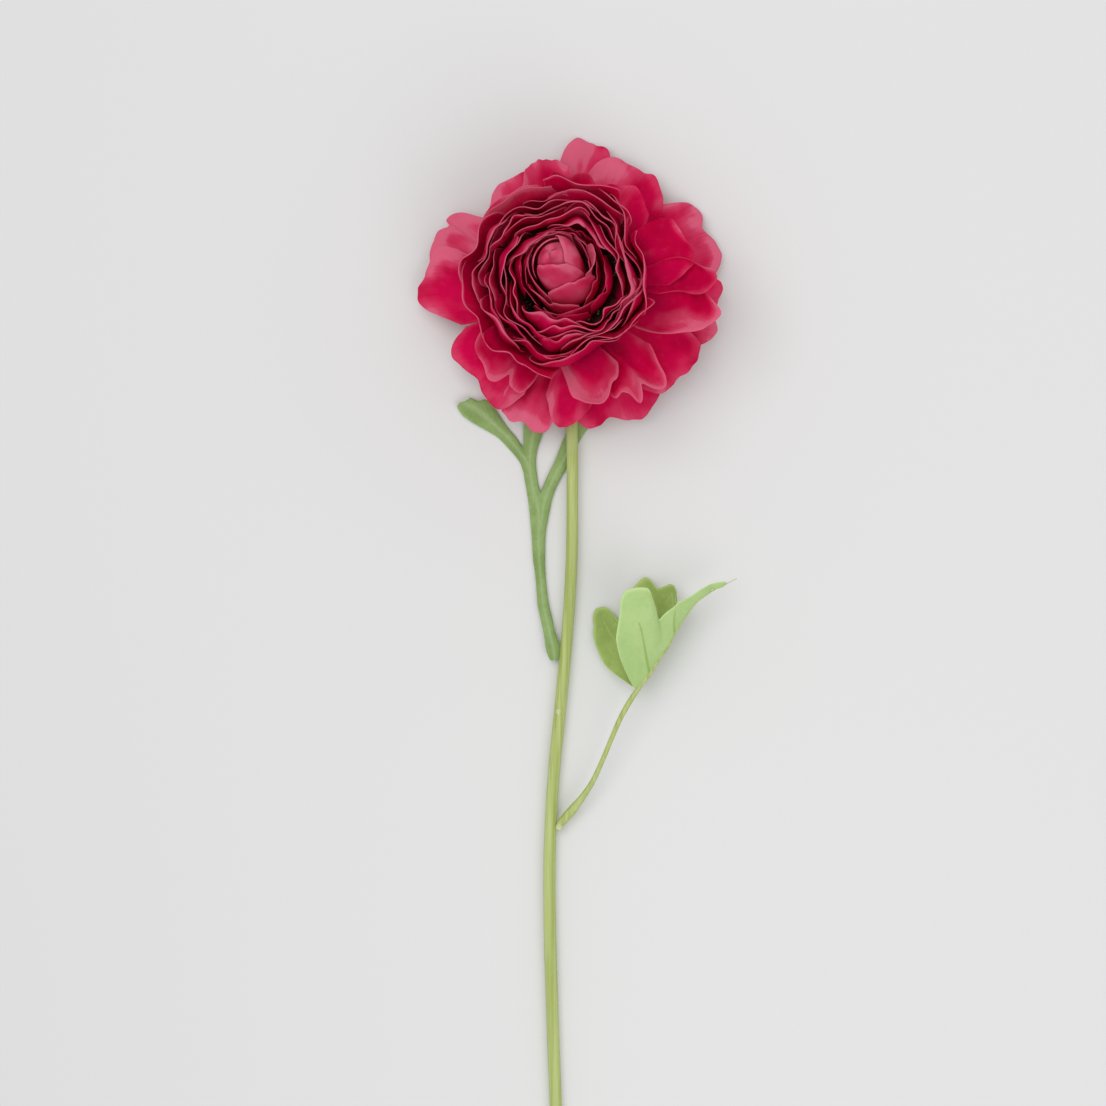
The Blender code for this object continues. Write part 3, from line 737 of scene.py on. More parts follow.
# Each whorl: inner and outer bowl, share of the way between, petals, first azimuth, half width
# (degrees), how much of the bud's lean it has, how pink it is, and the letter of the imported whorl
# for its first three petals
HEART_WHORLS = (
    (BUD_INNER, BUD_OUTER, 0.0, 3, 75, 70, 1.0, 1.25, ""),
    (BUD_INNER, BUD_OUTER, 0.8, 3, -96, 64, 1.0, 1.0, ""),
    (HEART_INNER, HEART_OUTER, 0.0, 4, -75, 50, 1.0, 0.75, "a"),
    (HEART_INNER, HEART_OUTER, 0.33, 4, -108, 46, 0.7, 0.45, "b"),
    (HEART_INNER, HEART_OUTER, 0.66, 4, -84, 44, 0.4, 0.35, "c"),
    (HEART_INNER, HEART_OUTER, 1.0, 4, -104, 40, 0.1, 0.15, ""),
)


def heart_leaned(points, share):
    """The points moved the way the bud leans, the higher the further, for a share of its lean."""
    lifted = np.maximum(0.0, points[..., 2] - HEART_FOOT)[..., None]
    return points + lifted * share * np.array(HEART_LEAN)


def heart_petal(whorl, number, bowl, azimuth, half_width, lean, pinkness, letter):
    seed = f"heart_{whorl}_{number}"
    draw = random.Random(seed)
    azimuth += draw.uniform(-8, 8)
    outer = whorl > 1  # the first two whorls are the bud's own and lie close on it
    reach = draw.uniform(0.86, 1.02) if outer else 1.0
    curl, cup = (draw.uniform(-0.9, 1.2), draw.uniform(-0.6, 0.8)) if outer else (0.0, 0.0)
    ripples = 0.6 if outer else 0.08
    notch, notch_place = (draw.uniform(0, 0.08), draw.uniform(-0.4, 0.4)) if outer else (0.0, 0.0)

    def place(u, v):
        rim = rounded_rim(u, v, seed, 0.10, 2.4, notch, notch_place, 0.14, 0.012)
        turn = upright_turn(u, v, azimuth, half_width, 0.12)
        below, right = (1 - np.sin(turn)) / 2, (1 + np.cos(turn)) / 2
        lowered = 0.10 * below**2 + 0.09 * right**3 if outer else 0.0
        spot, away = along_bowl(bowl, v * (rim - lowered) * reach)
        tucked = 0.5 * u * ease(v, 0.15, 0.75) + cup * (u * u - 0.3) * ease(v, 0.5, 1.0)
        bend = ripples * crinkle(u, v, seed, 4, 13) * ease(v, 0.5, 1.0) + curl * ease(v, 0.8, 1.0) ** 2
        spot = spot + away * (tucked + bend)[..., None]
        return warped(heart_leaned(round_axis(spot[..., 0], turn, spot[..., 1]), lean))

    def tone(u, v):
        pink = pinkness * (0.8 + 0.2 * crinkle(u, v, seed)) * ease(v, 0.5, 0.75)
        # Pink rims: partly their own colour and partly painted highlight.
        pink = pink + 0.45 * near_edge(u, v, 0.94, 0.94, 0.8, 0.5, 0.9)
        # Painted shade towards the claw, inside the whorls.
        return pink, 0.85 * (1 - ease(v, 0.4, 0.7)), 0.9 * (1 - ease(v, 0.2, 0.55))

    made = petal(f"heart_petal_{whorl + 1}_{number + 1}", place, 48, 34, tone, 0.3, 0.24)
    if letter and number < 3:
        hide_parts(f"heart_petal_{letter}{number + 1}")


CORE_RADIUS = 6.9
CORE_FOOT = 24  # height of the core's widest place
CORE_HEIGHT = 13.3  # of the dome over it
CREASES = 3


def bud_core():
    """The closed middle of the bud, with spiral creases where the innermost petals meet."""

    def place(u, v):
        turn = u * math.pi
        dome = np.sin(v * math.pi / 2)
        crease = 0.35 * np.cos(CREASES * turn + 9 * v) * ease(v, 0.25, 0.6) * (1 - ease(v, 0.9, 1.0))
        radius = (CORE_RADIUS + crease) * np.cos(v * math.pi / 2) * (1 - 0.25 * (1 - ease(v, 0, 0.3)))
        return warped(heart_leaned(round_axis(radius, turn, CORE_FOOT + CORE_HEIGHT * dome), 1.0))

    def tone(u, v):
        crease = 0.5 - 0.5 * np.cos(CREASES * u * math.pi + 9 * v)
        # Painted shade in the spiral creases.
        return 0.9 * ease(v, 0.2, 0.5), 0.5 * crease * ease(v, 0.55, 0.8), 0.35 * ease(v, 0.86, 1.0)

    made = petal("bud_core", place, 60, 40, tone, 0.3, 0.24)
    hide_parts("bud")


for whorl, (inner, outer, share, count, first, *rest) in enumerate(HEART_WHORLS):
    bowl = between(inner, outer, share)
    for number in range(count):
        heart_petal(whorl, number, bowl, first + 360 / count * number, *rest)
bud_core()
heart_petal(len(HEART_WHORLS), 0, np.array(LONE_BOWL), -6, 31, 0.9, 1.7, "")

# ----------------------------------------------------------------------
# The stamens: short dark threads with a swollen tip, in the gap between the heart and the ball.
# They grow from the receptacle, and are the same thread set round it at different turns and sizes.


def as_plain_mesh(source):
    """An object's mesh with its modifiers applied. The object itself goes."""
    graph = bpy.context.evaluated_depsgraph_get()
    mesh = bpy.data.meshes.new_from_object(source.evaluated_get(graph), depsgraph=graph)
    bpy.data.objects.remove(source)
    return mesh


def vertex_places(mesh):
    flat = np.empty(len(mesh.vertices) * 3)
    mesh.vertices.foreach_get("co", flat)
    return flat.reshape(-1, 3)


def grown(name, source, build, **inputs):
    """Runs a Geometry Nodes tree with named inputs on an object, and gives its result as a plain mesh.

    build(tree, wires) gets the source's geometry and the inputs as wires, and gives its result's wire.
    """
    tree = bpy.data.node_groups.new(name, "GeometryNodeTree")
    kinds = {int: "NodeSocketInt", float: "NodeSocketFloat"}
    tree.interface.new_socket("Geometry", in_out="OUTPUT", socket_type="NodeSocketGeometry")
    tree.interface.new_socket("Source", in_out="INPUT", socket_type="NodeSocketGeometry")
    for label, value in inputs.items():
        kind = kinds.get(type(value), "NodeSocketMaterial")
        tree.interface.new_socket(label, in_out="INPUT", socket_type=kind)
    entry = tree.nodes.new("NodeGroupInput")
    wires = {socket.name: Wire(tree, socket) for socket in entry.outputs if socket.name}
    whole = Wire.node(tree, "GeometryNodeRealizeInstances", {}, {"Geometry": build(tree, wires)})
    dressed = {"Geometry": whole, "Material": wires["Finish"]}
    whole = Wire.node(tree, "GeometryNodeSetMaterial", {}, dressed)
    last = tree.nodes.new("NodeGroupOutput")
    tree.links.new(whole.socket, last.inputs[0])
    modifier = source.modifiers.new(name, "NODES")
    modifier.node_group = tree
    for item in tree.interface.items_tree:
        if item.name in inputs:
            modifier[item.identifier] = inputs[item.name]
    mesh = as_plain_mesh(source)
    mesh.name = name
    return mesh


def curve_object(points, radii):
    """A curve object through the points, with a radius at each, for a Geometry Nodes tree to read."""
    curve = bpy.data.curves.new("path", "CURVE")
    curve.dimensions = "3D"
    line = curve.splines.new("POLY")
    line.points.add(len(points) - 1)
    for point, place, radius in zip(line.points, points, radii):
        point.co = (*place, 1)
        point.radius = radius
    made = bpy.data.objects.new("path", curve)
    bpy.context.scene.collection.objects.link(made)
    return made


def thread_tree(tree, wires):
    """One bent thread with a swollen tip, copied round the middle."""
    threads = Wire.node(tree, "GeometryNodeCurvePrimitiveCircle", {}, {"Resolution": 8, "Radius": 1.0})
    length = Wire.node(tree, "GeometryNodeSplineParameter")
    tip = length.rising(0.84, 0.94) * 2.2 - length.rising(0.96, 1.0) * 1.6
    swollen = wires["Thread radius"] * (1 + tip)
    sheath = {"Curve": wires["Source"], "Profile Curve": threads, "Scale": swollen, "Fill Caps": True}
    one = Wire.node(tree, "GeometryNodeCurveToMesh", {}, sheath)
    spots = Wire.node(tree, "GeometryNodePoints", {}, {"Count": wires["Count"]})

    def drawn(low, high, seed):
        values = {2: low, 3: high, "Seed": seed}
        return Wire.node(tree, "FunctionNodeRandomValue", {"data_type": "FLOAT"}, values, 1)

    spin = Wire.node(tree, "ShaderNodeCombineXYZ", {}, {"Z": drawn(0.0, 6.283, wires["Seed"])})
    size = drawn(0.82, 1.12, wires["Seed"] + 7)
    held = {"Points": spots, "Instance": one, "Rotation": spin, "Scale": size}
    return Wire.node(tree, "GeometryNodeInstanceOnPoints", {}, held)


def stamen_skin():
    made = Finish("stamen_skin", Specular_IOR_Level=0.3)
    grain = made.noise(made.place(), 900.0, 2.0)
    body = grain.mixed((0.012, 0.016, 0.006), (0.05, 0.06, 0.02))
    made.feed(Base_Color=body, Roughness=0.45 + grain * 0.3)
    return made.material


def stamens():
    bowl = between(HEART_OUTER, RING_INNER, 0.5)
    line = along_bowl(bowl, np.linspace(0.02, 0.6, 14))[0]
    path = [(radius * MM, 0, height * MM) for radius, height in line]
    skin = stamen_skin()
    thread = curve_object(path, [1.0] * len(path))
    inputs = {"Thread radius": 0.00022, "Count": 64, "Seed": 5, "Finish": skin}
    mesh = grown("stamens", thread, thread_tree, **inputs)
    placed = on_table(heart_leaned(vertex_places(mesh) / MM, 0.2))
    mesh.vertices.foreach_set("co", placed.ravel())
    finished("stamens", mesh, skin)


stamens()

# ----------------------------------------------------------------------
# The calyx: the receptacle, which is the swollen green end of the stem that every petal grows
# from, and five thin sepals that spread flat against the lowest petals. All of it is the same
# green tissue as the leaves.


def green_skin(name, deep, light, vein, relief=0.00012):
    """Leaf tissue: a cloudy green with fine fibres, paler where it has veins or an edge, and painted
    shade where its shade attribute is high.
    """
    made = Finish(name, Specular_IOR_Level=0.25)
    cloud = made.noise(made.place(), 70.0, 4.0, 0.6)
    mottle = made.noise(made.place(), 380.0, 3.0, 0.6)
    grain = made.noise(made.stretched(made.place(), (1800, 600, 1800)), 1.0, 2.0)
    body = (cloud.rising(0.3, 0.7) * 0.65 + mottle * 0.35).clamped().mixed(deep, light)
    body = (mottle.rising(0.5, 0.66) * 0.45).mixed(body, deep)
    body = (grain.rising(0.5, 0.75) * 0.4).mixed(body, light)
    body = (made.attribute("vein") * 0.8).mixed(body, vein)
    # Painted shade: a darker copy of the deep green, laid on where the shade attribute is high.
    painted_shade_colour = [0.35 * share for share in deep]
    palest = [min(1.0, 1.35 * share + 0.03) for share in light]
    body = (made.attribute("shade") * 0.55).mixed(body, painted_shade_colour)
    body = (made.attribute("edge") * 0.5).mixed(body, palest)
    made.feed(Base_Color=body, Roughness=0.52 + mottle * 0.2)
    made.bumped(mottle * 0.5 + grain * 0.5 + made.attribute("vein") * 0.8, relief)
    made.lit_through(tuple(share * 0.9 for share in light), 0.12)
    return made.material


calyx_skin = green_skin("calyx_tissue", (0.20, 0.27, 0.07), (0.38, 0.46, 0.15), (0.48, 0.52, 0.24))

SEPALS = 5
FIRST_SEPAL = 54  # degrees, its azimuth
HALF_SEPAL = 19  # degrees, half a sepal's width at its foot
SEPAL_LENGTH = 9.6


def sepal(number):
    azimuth = FIRST_SEPAL + 360 / SEPALS * number
    seed = f"sepal_{number}"

    def place(u, v):
        radius = CLAW_RADIUS + SEPAL_LENGTH * v
        turn = np.radians(azimuth + HALF_SEPAL * u * (1 - 0.85 * v**2.5))
        height = open_height(radius, turn, 0) - 1.5 - 1.2 * v - 0.35 * u**2 + 0.12 * crinkle(u, v, seed)
        return on_table(warped(round_axis(radius, turn, height)))

    def tone(u, v):
        vein = np.exp(-((u / 0.09) ** 2)) * (1 - v)
        return {"vein": vein, "edge": ease(np.abs(u), 0.8, 1.0), "shade": 0.3 * (1 - v)}

    made = thin_sheet(f"sepal_{number + 1}_shape", place, 28, 28, tone, calyx_skin, 0.45, 0.3)
    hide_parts(f"sepal_{number + 1}")


def tube_faces(rows, columns):
    """The side faces and the two end caps of a tube whose vertices stand in rows round it."""
    sides = []
    for row in range(rows - 1):
        for column in range(columns):
            here, after = row * columns + column, row * columns + (column + 1) % columns
            sides.append((here, here + columns, after + columns, after))
    return sides, [tuple(range(columns)), tuple(range((rows - 1) * columns, rows * columns))[::-1]]


def receptacle():
    outline = (  # radius and height in mm, from its top down
        (0.01, 9.3), (1.2, 9.25), (2.2, 9.0), (3.3, 7.6), (4.4, 5.0), (5.0, 2.6), (5.1, 0.6), (4.2, -0.6),
        (2.3, -1.0), (0.01, -1.0),
    )
    line = smooth_line(outline, np.linspace(0, 1, 40))
    turns = np.linspace(0, 2 * math.pi, 49)[:-1]
    grid = [[(r * math.cos(t), r * math.sin(t), z) for t in turns] for r, z in line]
    mesh = bpy.data.meshes.new("receptacle_shape")
    points = on_table(np.array(grid).reshape(-1, 3))
    sides, caps = tube_faces(len(line), len(turns))
    mesh.from_pydata(points, [], sides + caps)
    keep_attribute(mesh, "vein", 0.4 + 0.4 * np.sin(12 * np.tile(turns, len(line))))
    made = finished("receptacle_shape", mesh, calyx_skin)
    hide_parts("receptacle")


for number in range(SEPALS):
    sepal(number)
receptacle()

# ----------------------------------------------------------------------
# The stem: a round, faintly ribbed green stalk, lying on the table and bent up into the flower's
# underside. It is cut square at its lower end, and carries two small pale scars, one of them at
# the lower leaf's stalk.

# The middle line from the cut end to the neck, in millimetres beside the flower's foot and over
# the table
STEM_LINE = (
    (-2, -378, 2.2), (-4.2, -330, 2.3), (-5.6, -291, 2.4), (-6.7, -262, 2.6), (-7.7, -228, 2.8),
    (-7.8, -202, 2.9), (-6.6, -176, 3), (-4.1, -150, 3), (-1.5, -122, 3.1), (0, -97, 3.4), (0.3, -70, 4),
    (0.2, -50, 5), (0.2, -34, 6.6), (0.4, -20, 8.7), (0.8, -10.5, 10.6), (0.9, -4.4, 12),
)
STEM_RADII = (
    2.16, 2.15, 2.16, 2.14, 2.16, 2.12, 2.1, 2.12, 2.06, 2.05, 2.03, 2.02, 2.0, 2.0, 2.02, 2.1, 2.2, 2.1,
)


def beside_flower(points):
    """Millimetres from under the flower's foot, and from the table, as places in the room in metres."""
    corner = np.array((flower_foot.x, flower_foot.y, flower_foot.z - HEAD_HEIGHT * MM))
    return np.asarray(points, float) * MM + corner


def stalk_tree(tree, wires):
    """A faintly ribbed stalk along a curve, as thick as the curve's radius and a little more or less."""
    circle = Wire.node(tree, "GeometryNodeCurvePrimitiveCircle", {}, {"Resolution": 48, "Radius": 1.0})
    turn = Wire.node(tree, "GeometryNodeSplineParameter") * wires["Ribs"] * 6.28318
    ribs = turn.math("SINE", turn) * wires["Rib height"]
    raised = {0: Wire.node(tree, "GeometryNodeInputPosition"), "Scale": ribs}
    bulge = Wire.node(tree, "ShaderNodeVectorMath", {"operation": "SCALE"}, raised)
    profile = Wire.node(tree, "GeometryNodeSetPosition", {}, {"Geometry": circle, "Offset": bulge})
    length = Wire.node(tree, "GeometryNodeSplineParameter", {}, {}, "Length")
    spread = Wire.node(tree, "ShaderNodeCombineXYZ", {}, {"X": length, "Y": wires["Seed"]})
    wander = Wire.node(tree, "ShaderNodeTexNoise", {}, {"Vector": spread, "Scale": 60.0, "Detail": 2.0})
    radius = Wire.node(tree, "GeometryNodeInputRadius") * (1 + (wander - 0.5) * wires["Swelling"])
    held = {"Curve": wires["Source"], "Profile Curve": profile, "Scale": radius, "Fill Caps": True}
    return Wire.node(tree, "GeometryNodeCurveToMesh", {}, held)


def stalk(name, points, radii, steps, finish, **inputs):
    """A stalk through the points (mm beside the flower) with a radius (mm) at each, as a mesh."""
    share = np.linspace(0, 1, steps)
    path = beside_flower(smooth_line(points, share))
    sizes = smooth_line(np.asarray(radii, float), share) * MM
    return grown(name, curve_object(path, sizes), stalk_tree, Finish=finish, **inputs)


def stem_skin():
    """Yellow-green stalk tissue: pale and dark streaks, a waxy surface and a little light through it."""
    made = Finish("stem_skin", Specular_IOR_Level=0.35)
    streaks = made.noise(made.stretched(made.place(), (900, 14, 900)), 1.0, 3.0, 0.6)
    cloud = made.noise(made.place(), 45.0, 3.0)
    specks = made.noise(made.place(), 1100.0, 2.0)
    body = streaks.rising(0.3, 0.7).mixed((0.41, 0.49, 0.12), (0.58, 0.67, 0.26))
    body = ((cloud - 0.5).rising(0.0, 0.2) * 0.35).mixed(body, (0.56, 0.64, 0.30))
    body = ((specks - 0.5).rising(0.1, 0.25) * 0.25).mixed(body, (0.62, 0.68, 0.36))
    made.feed(Base_Color=body, Roughness=0.38 + streaks * 0.2)
    made.bumped(streaks * 0.7 + specks * 0.3, 0.00012)
    made.lit_through((0.55, 0.64, 0.22), 0.12)
    return made.material


stem_finish = stem_skin()


def stem():
    neck = []
    for below in (3.8, 1.2):
        place = flower_foot - flower_turn @ Vector((0, 0, below * MM))
        neck.append((np.array(place) - beside_flower((0, 0, 0))) / MM)
    inputs = {"Ribs": 9.0, "Rib height": 0.012, "Swelling": 0.10, "Seed": 3}
    mesh = stalk("stem_shape", [*STEM_LINE, *neck], STEM_RADII, 340, stem_finish, **inputs)
    made = finished("stem_shape", mesh, stem_finish)
    mesh.set_sharp_from_angle(angle=math.radians(60))
    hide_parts("stem")


def scar(name, place, size, lean):
    """A pale torn patch on the stem: a low knob with a rough rim. Place and half sizes are in mm."""
    draw = random.Random(name)
    shape = bmesh.new()
    bmesh.ops.create_icosphere(shape, subdivisions=4, radius=1)
    for vertex in shape.verts:
        x, y, z = vertex.co
        rough = 1 + 0.16 * math.sin(7 * x + 3 * y) * math.sin(6 * y - 4 * z) + draw.uniform(-0.02, 0.02)
        hollow = 0.35 * math.exp(-(x * x + y * y) / 0.12) if z > 0 else 0
        vertex.co = Vector((x * size[0], y * size[1], (z - hollow) * size[2])) * rough
        vertex.co = Vector((vertex.co.x, vertex.co.y + lean * vertex.co.z, vertex.co.z)) * MM
    mesh = bpy.data.meshes.new(name)
    shape.to_mesh(mesh)
    shape.free()
    mesh.transform(Matrix.Translation(Vector(beside_flower(place))))
    made = finished(name, mesh, scar_skin)


def scar_tissue():
    made = Finish("scar_tissue", Specular_IOR_Level=0.2)
    grain = made.noise(made.place(), 1500.0, 3.0)
    body = grain.mixed((0.45, 0.50, 0.20), (0.80, 0.82, 0.55))
    made.feed(Base_Color=body, Roughness=0.6 + grain * 0.2)
    made.bumped(grain, 0.0002)
    return made.material


scar_skin = scar_tissue()
stem()
scar("leaf_scar", (-4.6, -150.5, 4.9), (0.75, 1.25, 0.5), 0.2)
scar("stalk_scar", (-4.4, -191.6, 4.2), (1.2, 1.3, 1.0), 0.1)

# ----------------------------------------------------------------------
# The upper leaf: a thick, narrow green stalk that grows from the stem and parts into three lobes,
# lying flat on the table. Two of the lobes run on under the flower. It is one fused piece of
# felted leaf tissue.

# Each strap from its foot to its tip, in millimetres beside the flower: left edge x, y, right edge
# x, y, height
LEAF_STRAPS = {
    "stalk": (
        (-7.6, -132.3, -4.6, -132.2, 3.4), (-9.1, -128.7, -3.9, -127.8, 3),
        (-9.8, -123.6, -5.6, -122.6, 2.6), (-11.1, -117.5, -6.9, -116.8, 2.1),
        (-12.2, -112.1, -8, -112.1, 1.8), (-12.6, -106, -8.8, -106.3, 1.5),
        (-13.2, -100.2, -9.3, -99.9, 1.3), (-13.8, -95.8, -9.4, -94.4, 1.2),
        (-14.3, -87.7, -9.2, -87.7, 1.1), (-14.9, -80.9, -8.4, -80.9, 1.1),
        (-15.5, -75.4, -9.4, -75.4, 1.1), (-16.3, -70.3, -11.3, -71.4, 1.1),
        (-17, -65.9, -12.3, -65.6, 1.1), (-17.2, -60.5, -12.6, -60.5, 1.1),
        (-17.2, -56.4, -11.9, -56.4, 1.1), (-17.2, -51.7, -10.2, -51.7, 1.2),
        (-17, -46.9, -9, -47.6, 1.3), (-16.2, -42.9, -9.2, -43.5, 1.6), (-14.9, -39.8, -10.5, -40.1, 2),
        (-13.2, -38.4, -12.1, -38.5, 2.2),
    ),
    "left_lobe": (
        (-15.2, -76.8, -11.5, -74.8, 1.1), (-15.9, -70, -12.9, -65.9, 1.1),
        (-17.6, -63.9, -14.2, -59.8, 1.1), (-19.1, -60.7, -17.2, -56.4, 1.1),
        (-23.1, -56.1, -19.5, -52.9, 1.1), (-26.5, -52.7, -22.4, -49.6, 1.1),
        (-30.5, -50.3, -25, -45.9, 1.2), (-35.3, -47.6, -27.8, -41.6, 1.5),
        (-38.7, -45.2, -30.5, -39.2, 1.8), (-40.2, -43.2, -33.3, -39.7, 2),
        (-40.9, -41.8, -36.1, -38.5, 2.2), (-40, -40.4, -36.8, -39.7, 2.3),
    ),
    "right_lobe": (
        (-13.4, -84.9, -9.1, -86.3, 1.1), (-13, -80.2, -8.1, -80.9, 1.1),
        (-12.3, -75.4, -6.9, -75.1, 1.1), (-10.7, -71.4, -5.7, -71.4, 1.1),
        (-8.7, -66.6, -3.4, -66.6, 1.1), (-6.1, -61.2, -0.8, -62.2, 1.1), (-3.4, -54.4, 2.2, -55.8, 1.1),
        (-1.2, -49.6, 4.8, -51.1, 1.2), (1, -45.6, 6.8, -48.6, 1.4), (3.7, -42.2, 7.5, -45.2, 1.6),
        (5.8, -41.2, 7.1, -42.5, 1.8),
    ),
}


STRAP_SIDES = 24  # vertices round a strap's section
HALF_THICKNESS = 0.8


def strap_points(rows, steps):
    """A strap with a lens-shaped section between its two edges: its points, middle line and widths."""
    line = smooth_line(rows, np.linspace(0, 1, steps))
    left = np.stack([line[:, 0], line[:, 1], line[:, 4]], -1)
    right = np.stack([line[:, 2], line[:, 3], line[:, 4]], -1)
    turns = np.linspace(0, 2 * math.pi, STRAP_SIDES + 1)[:-1]
    across = (1 - np.cos(turns)) / 2
    wide = np.linalg.norm(right - left, axis=1)
    section = np.sign(np.sin(turns)) * np.abs(np.sin(turns)) ** 0.8
    thick = HALF_THICKNESS * np.clip(wide / 4.0, 0.35, 1.0)
    body = left[:, None] + (right - left)[:, None] * across[None, :, None]
    body[..., 2] += thick[:, None] * section[None, :]
    body[..., 2] = np.maximum(body[..., 2], 0.25)
    return body.reshape(-1, 3), (left + right) / 2, wide


def upper_leaf():
    shape = bmesh.new()
    middles, widths = [], []
    for rows in LEAF_STRAPS.values():
        steps = 12 * len(rows)
        points, middle, wide = strap_points(rows, steps)
        added = [shape.verts.new(point) for point in points]
        sides, caps = tube_faces(steps, STRAP_SIDES)
        for face in [side[:1] + side[:0:-1] for side in sides] + [cap[::-1] for cap in caps]:
            shape.faces.new([added[index] for index in face])
        middles.append(middle)
        widths.append(wide)
    bmesh.ops.recalc_face_normals(shape, faces=shape.faces)
    rough = bpy.data.meshes.new("upper_leaf_shape")
    shape.to_mesh(rough)
    shape.free()
    source = bpy.data.objects.new("upper_leaf_shape", rough)
    bpy.context.scene.collection.objects.link(source)
    remesh = source.modifiers.new("fused", "REMESH")
    remesh.mode = "VOXEL"
    remesh.voxel_size = 0.22  # mm, for the mesh is brought to metres below
    smooth = source.modifiers.new("smoothed", "SMOOTH")
    smooth.iterations = 6
    smooth.factor = 0.5
    mesh = as_plain_mesh(source)
    points = vertex_places(mesh)
    middle, wide = np.vstack(middles), np.concatenate(widths)
    gaps = np.linalg.norm(points[:, None, :2] - middle[None, :, :2], axis=2)
    nearest = gaps.argmin(1)
    aside = gaps[np.arange(len(points)), nearest] / np.maximum(wide[nearest] / 2, 0.5)
    groove = np.exp(-((aside / 0.22) ** 2))
    upward = points[:, 2] > middle[nearest, 2]
    x, y, _ = points.T
    bumps = 0.07 * np.sin(y * 1.9 + 3 * np.sin(x)) * np.sin(x * 2.3 + 1.0)
    points[:, 2] += np.where(upward, bumps - 0.22 * groove, 0)
    mesh.vertices.foreach_set("co", beside_flower(points).ravel())
    keep_attribute(mesh, "vein", 0.55 * groove * upward)
    keep_attribute(mesh, "edge", 0.7 * ease(aside, 0.8, 1.05))
    # Painted shade along each strap's right side.
    right_side = np.sign(x - middle[nearest, 0])
    keep_attribute(mesh, "shade", 0.4 * ease(aside * right_side, 0.55, 1.0))
    colours = ((0.22, 0.335, 0.095), (0.37, 0.53, 0.20), (0.50, 0.66, 0.34))
    skin = green_skin("upper_leaf_tissue", *colours, 0.0002)
    made = finished("upper_leaf_shape", mesh, skin)
    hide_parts("upper_leaf")


upper_leaf()

# ----------------------------------------------------------------------
# The lower leaf: a thin stalk that swells where it leaves the stem, and a lobed blade folded along
# its midrib; the blade is of leaf tissue, and the stalk and midrib of stem tissue. The upper half
# shows its pale underside with veins, and the lower half its darker face.

# The stalk from the stem to the blade, in millimetres beside the flower and over the table
LOWER_STALK = (
    (-4.3, -190.6, 3.6), (-0.5, -186.3, 4.6), (3.9, -180.8, 6), (7.5, -175.2, 7.3), (10.8, -168, 8.8),
    (14.1, -160, 10.2), (17.3, -152.6, 11.4), (20.6, -146.6, 12.4), (24.6, -140.6, 13.2),
)
# The midrib's height over the table at places from left to right: x and height
RIB_HEIGHTS = (
    (23, 12.9), (27.3, 13.6), (31.3, 14.2), (35.1, 14.6), (39.2, 14.6), (44.6, 14.2), (49.6, 13.4),
    (55, 12.4),
)
# The two halves of the blade, in millimetres beside the flower: x, y on the midrib and x, y on the
# edge
UPPER_HALF = (
    (23.8, -141.5, 22, -141.5), (24.8, -140.3, 20.1, -138), (25.9, -139, 18.2, -133.8),
    (26.9, -137.6, 16.8, -129.9), (27.7, -136.7, 15.9, -125.9), (28, -136.1, 15.7, -123.4),
    (28.4, -135.5, 16.2, -119.9), (28.7, -135.1, 16.9, -114.5), (29, -134.5, 17.3, -110.3),
    (29.4, -134, 18.8, -107.4), (29.8, -133.4, 22.1, -106.3), (30.2, -132.8, 25.2, -106.2),
    (30.7, -132, 27.1, -106.8), (31.3, -131.1, 28.2, -109.5), (32.1, -129.9, 29.4, -113),
    (33, -128.6, 30.6, -117.3), (34.4, -126.5, 32.3, -116), (35.5, -124.3, 34, -114.5),
    (36.7, -122, 35.9, -113.2), (38.2, -119.5, 37.8, -111.4), (40, -116.8, 40.2, -110.3),
    (41.9, -114.1, 43, -108.7), (44, -111.6, 45.3, -107.1), (46.3, -109.6, 47.5, -105.9),
    (48.6, -108.2, 48.8, -105.2), (49.5, -106.8, 50.2, -104.8), (51.3, -106.6, 51.7, -104.5),
    (53.2, -106.1, 53.6, -104.3), (54.6, -105.1, 54.8, -104.5),
)
LOWER_HALF = (
    (23.8, -141.5, 21.6, -141.3), (25, -140.1, 18.2, -139), (25.9, -139, 14.4, -136.2),
    (26.7, -137.9, 11.6, -133.3), (27.3, -137.2, 10, -130.1), (27.7, -136.7, 8.6, -126.5),
    (27.9, -136.3, 7.8, -123), (28.1, -136, 8.1, -120.3), (28.3, -135.7, 7.7, -117.2),
    (28.5, -135.4, 8.6, -114.3), (28.7, -135.1, 10.5, -113.4), (28.9, -134.7, 12.6, -113.6),
    (29.1, -134.5, 14.4, -115.3), (29.4, -134, 16.1, -118), (29.8, -133.4, 18.2, -119.9),
    (30.3, -132.6, 18.2, -115.7), (30.9, -131.7, 19, -111.5), (31.5, -130.8, 20.9, -108),
    (32.1, -129.9, 23.2, -105.1), (32.7, -129.2, 25.5, -103), (33.2, -128.3, 27.1, -102.9),
    (33.8, -127.4, 28.7, -104.3), (34.4, -126.5, 30, -106.3), (35, -125.4, 31, -106.7),
    (35.5, -124.3, 33.2, -105.9), (36, -123.4, 35.2, -105.2), (36.5, -122.4, 36.7, -106.1),
    (37.1, -121.5, 37.2, -108.4), (37.7, -120.4, 36.8, -110.5), (38.4, -119.2, 37.5, -112),
    (40, -116.8, 39.4, -111.6), (41.9, -114.1, 42.1, -109.9), (44, -111.6, 44.6, -108.4),
    (46.3, -109.6, 46.9, -107), (48.6, -108.2, 48.4, -106.5), (49.5, -106.8, 50, -106),
    (53.2, -106.1, 53.2, -105.2),
)
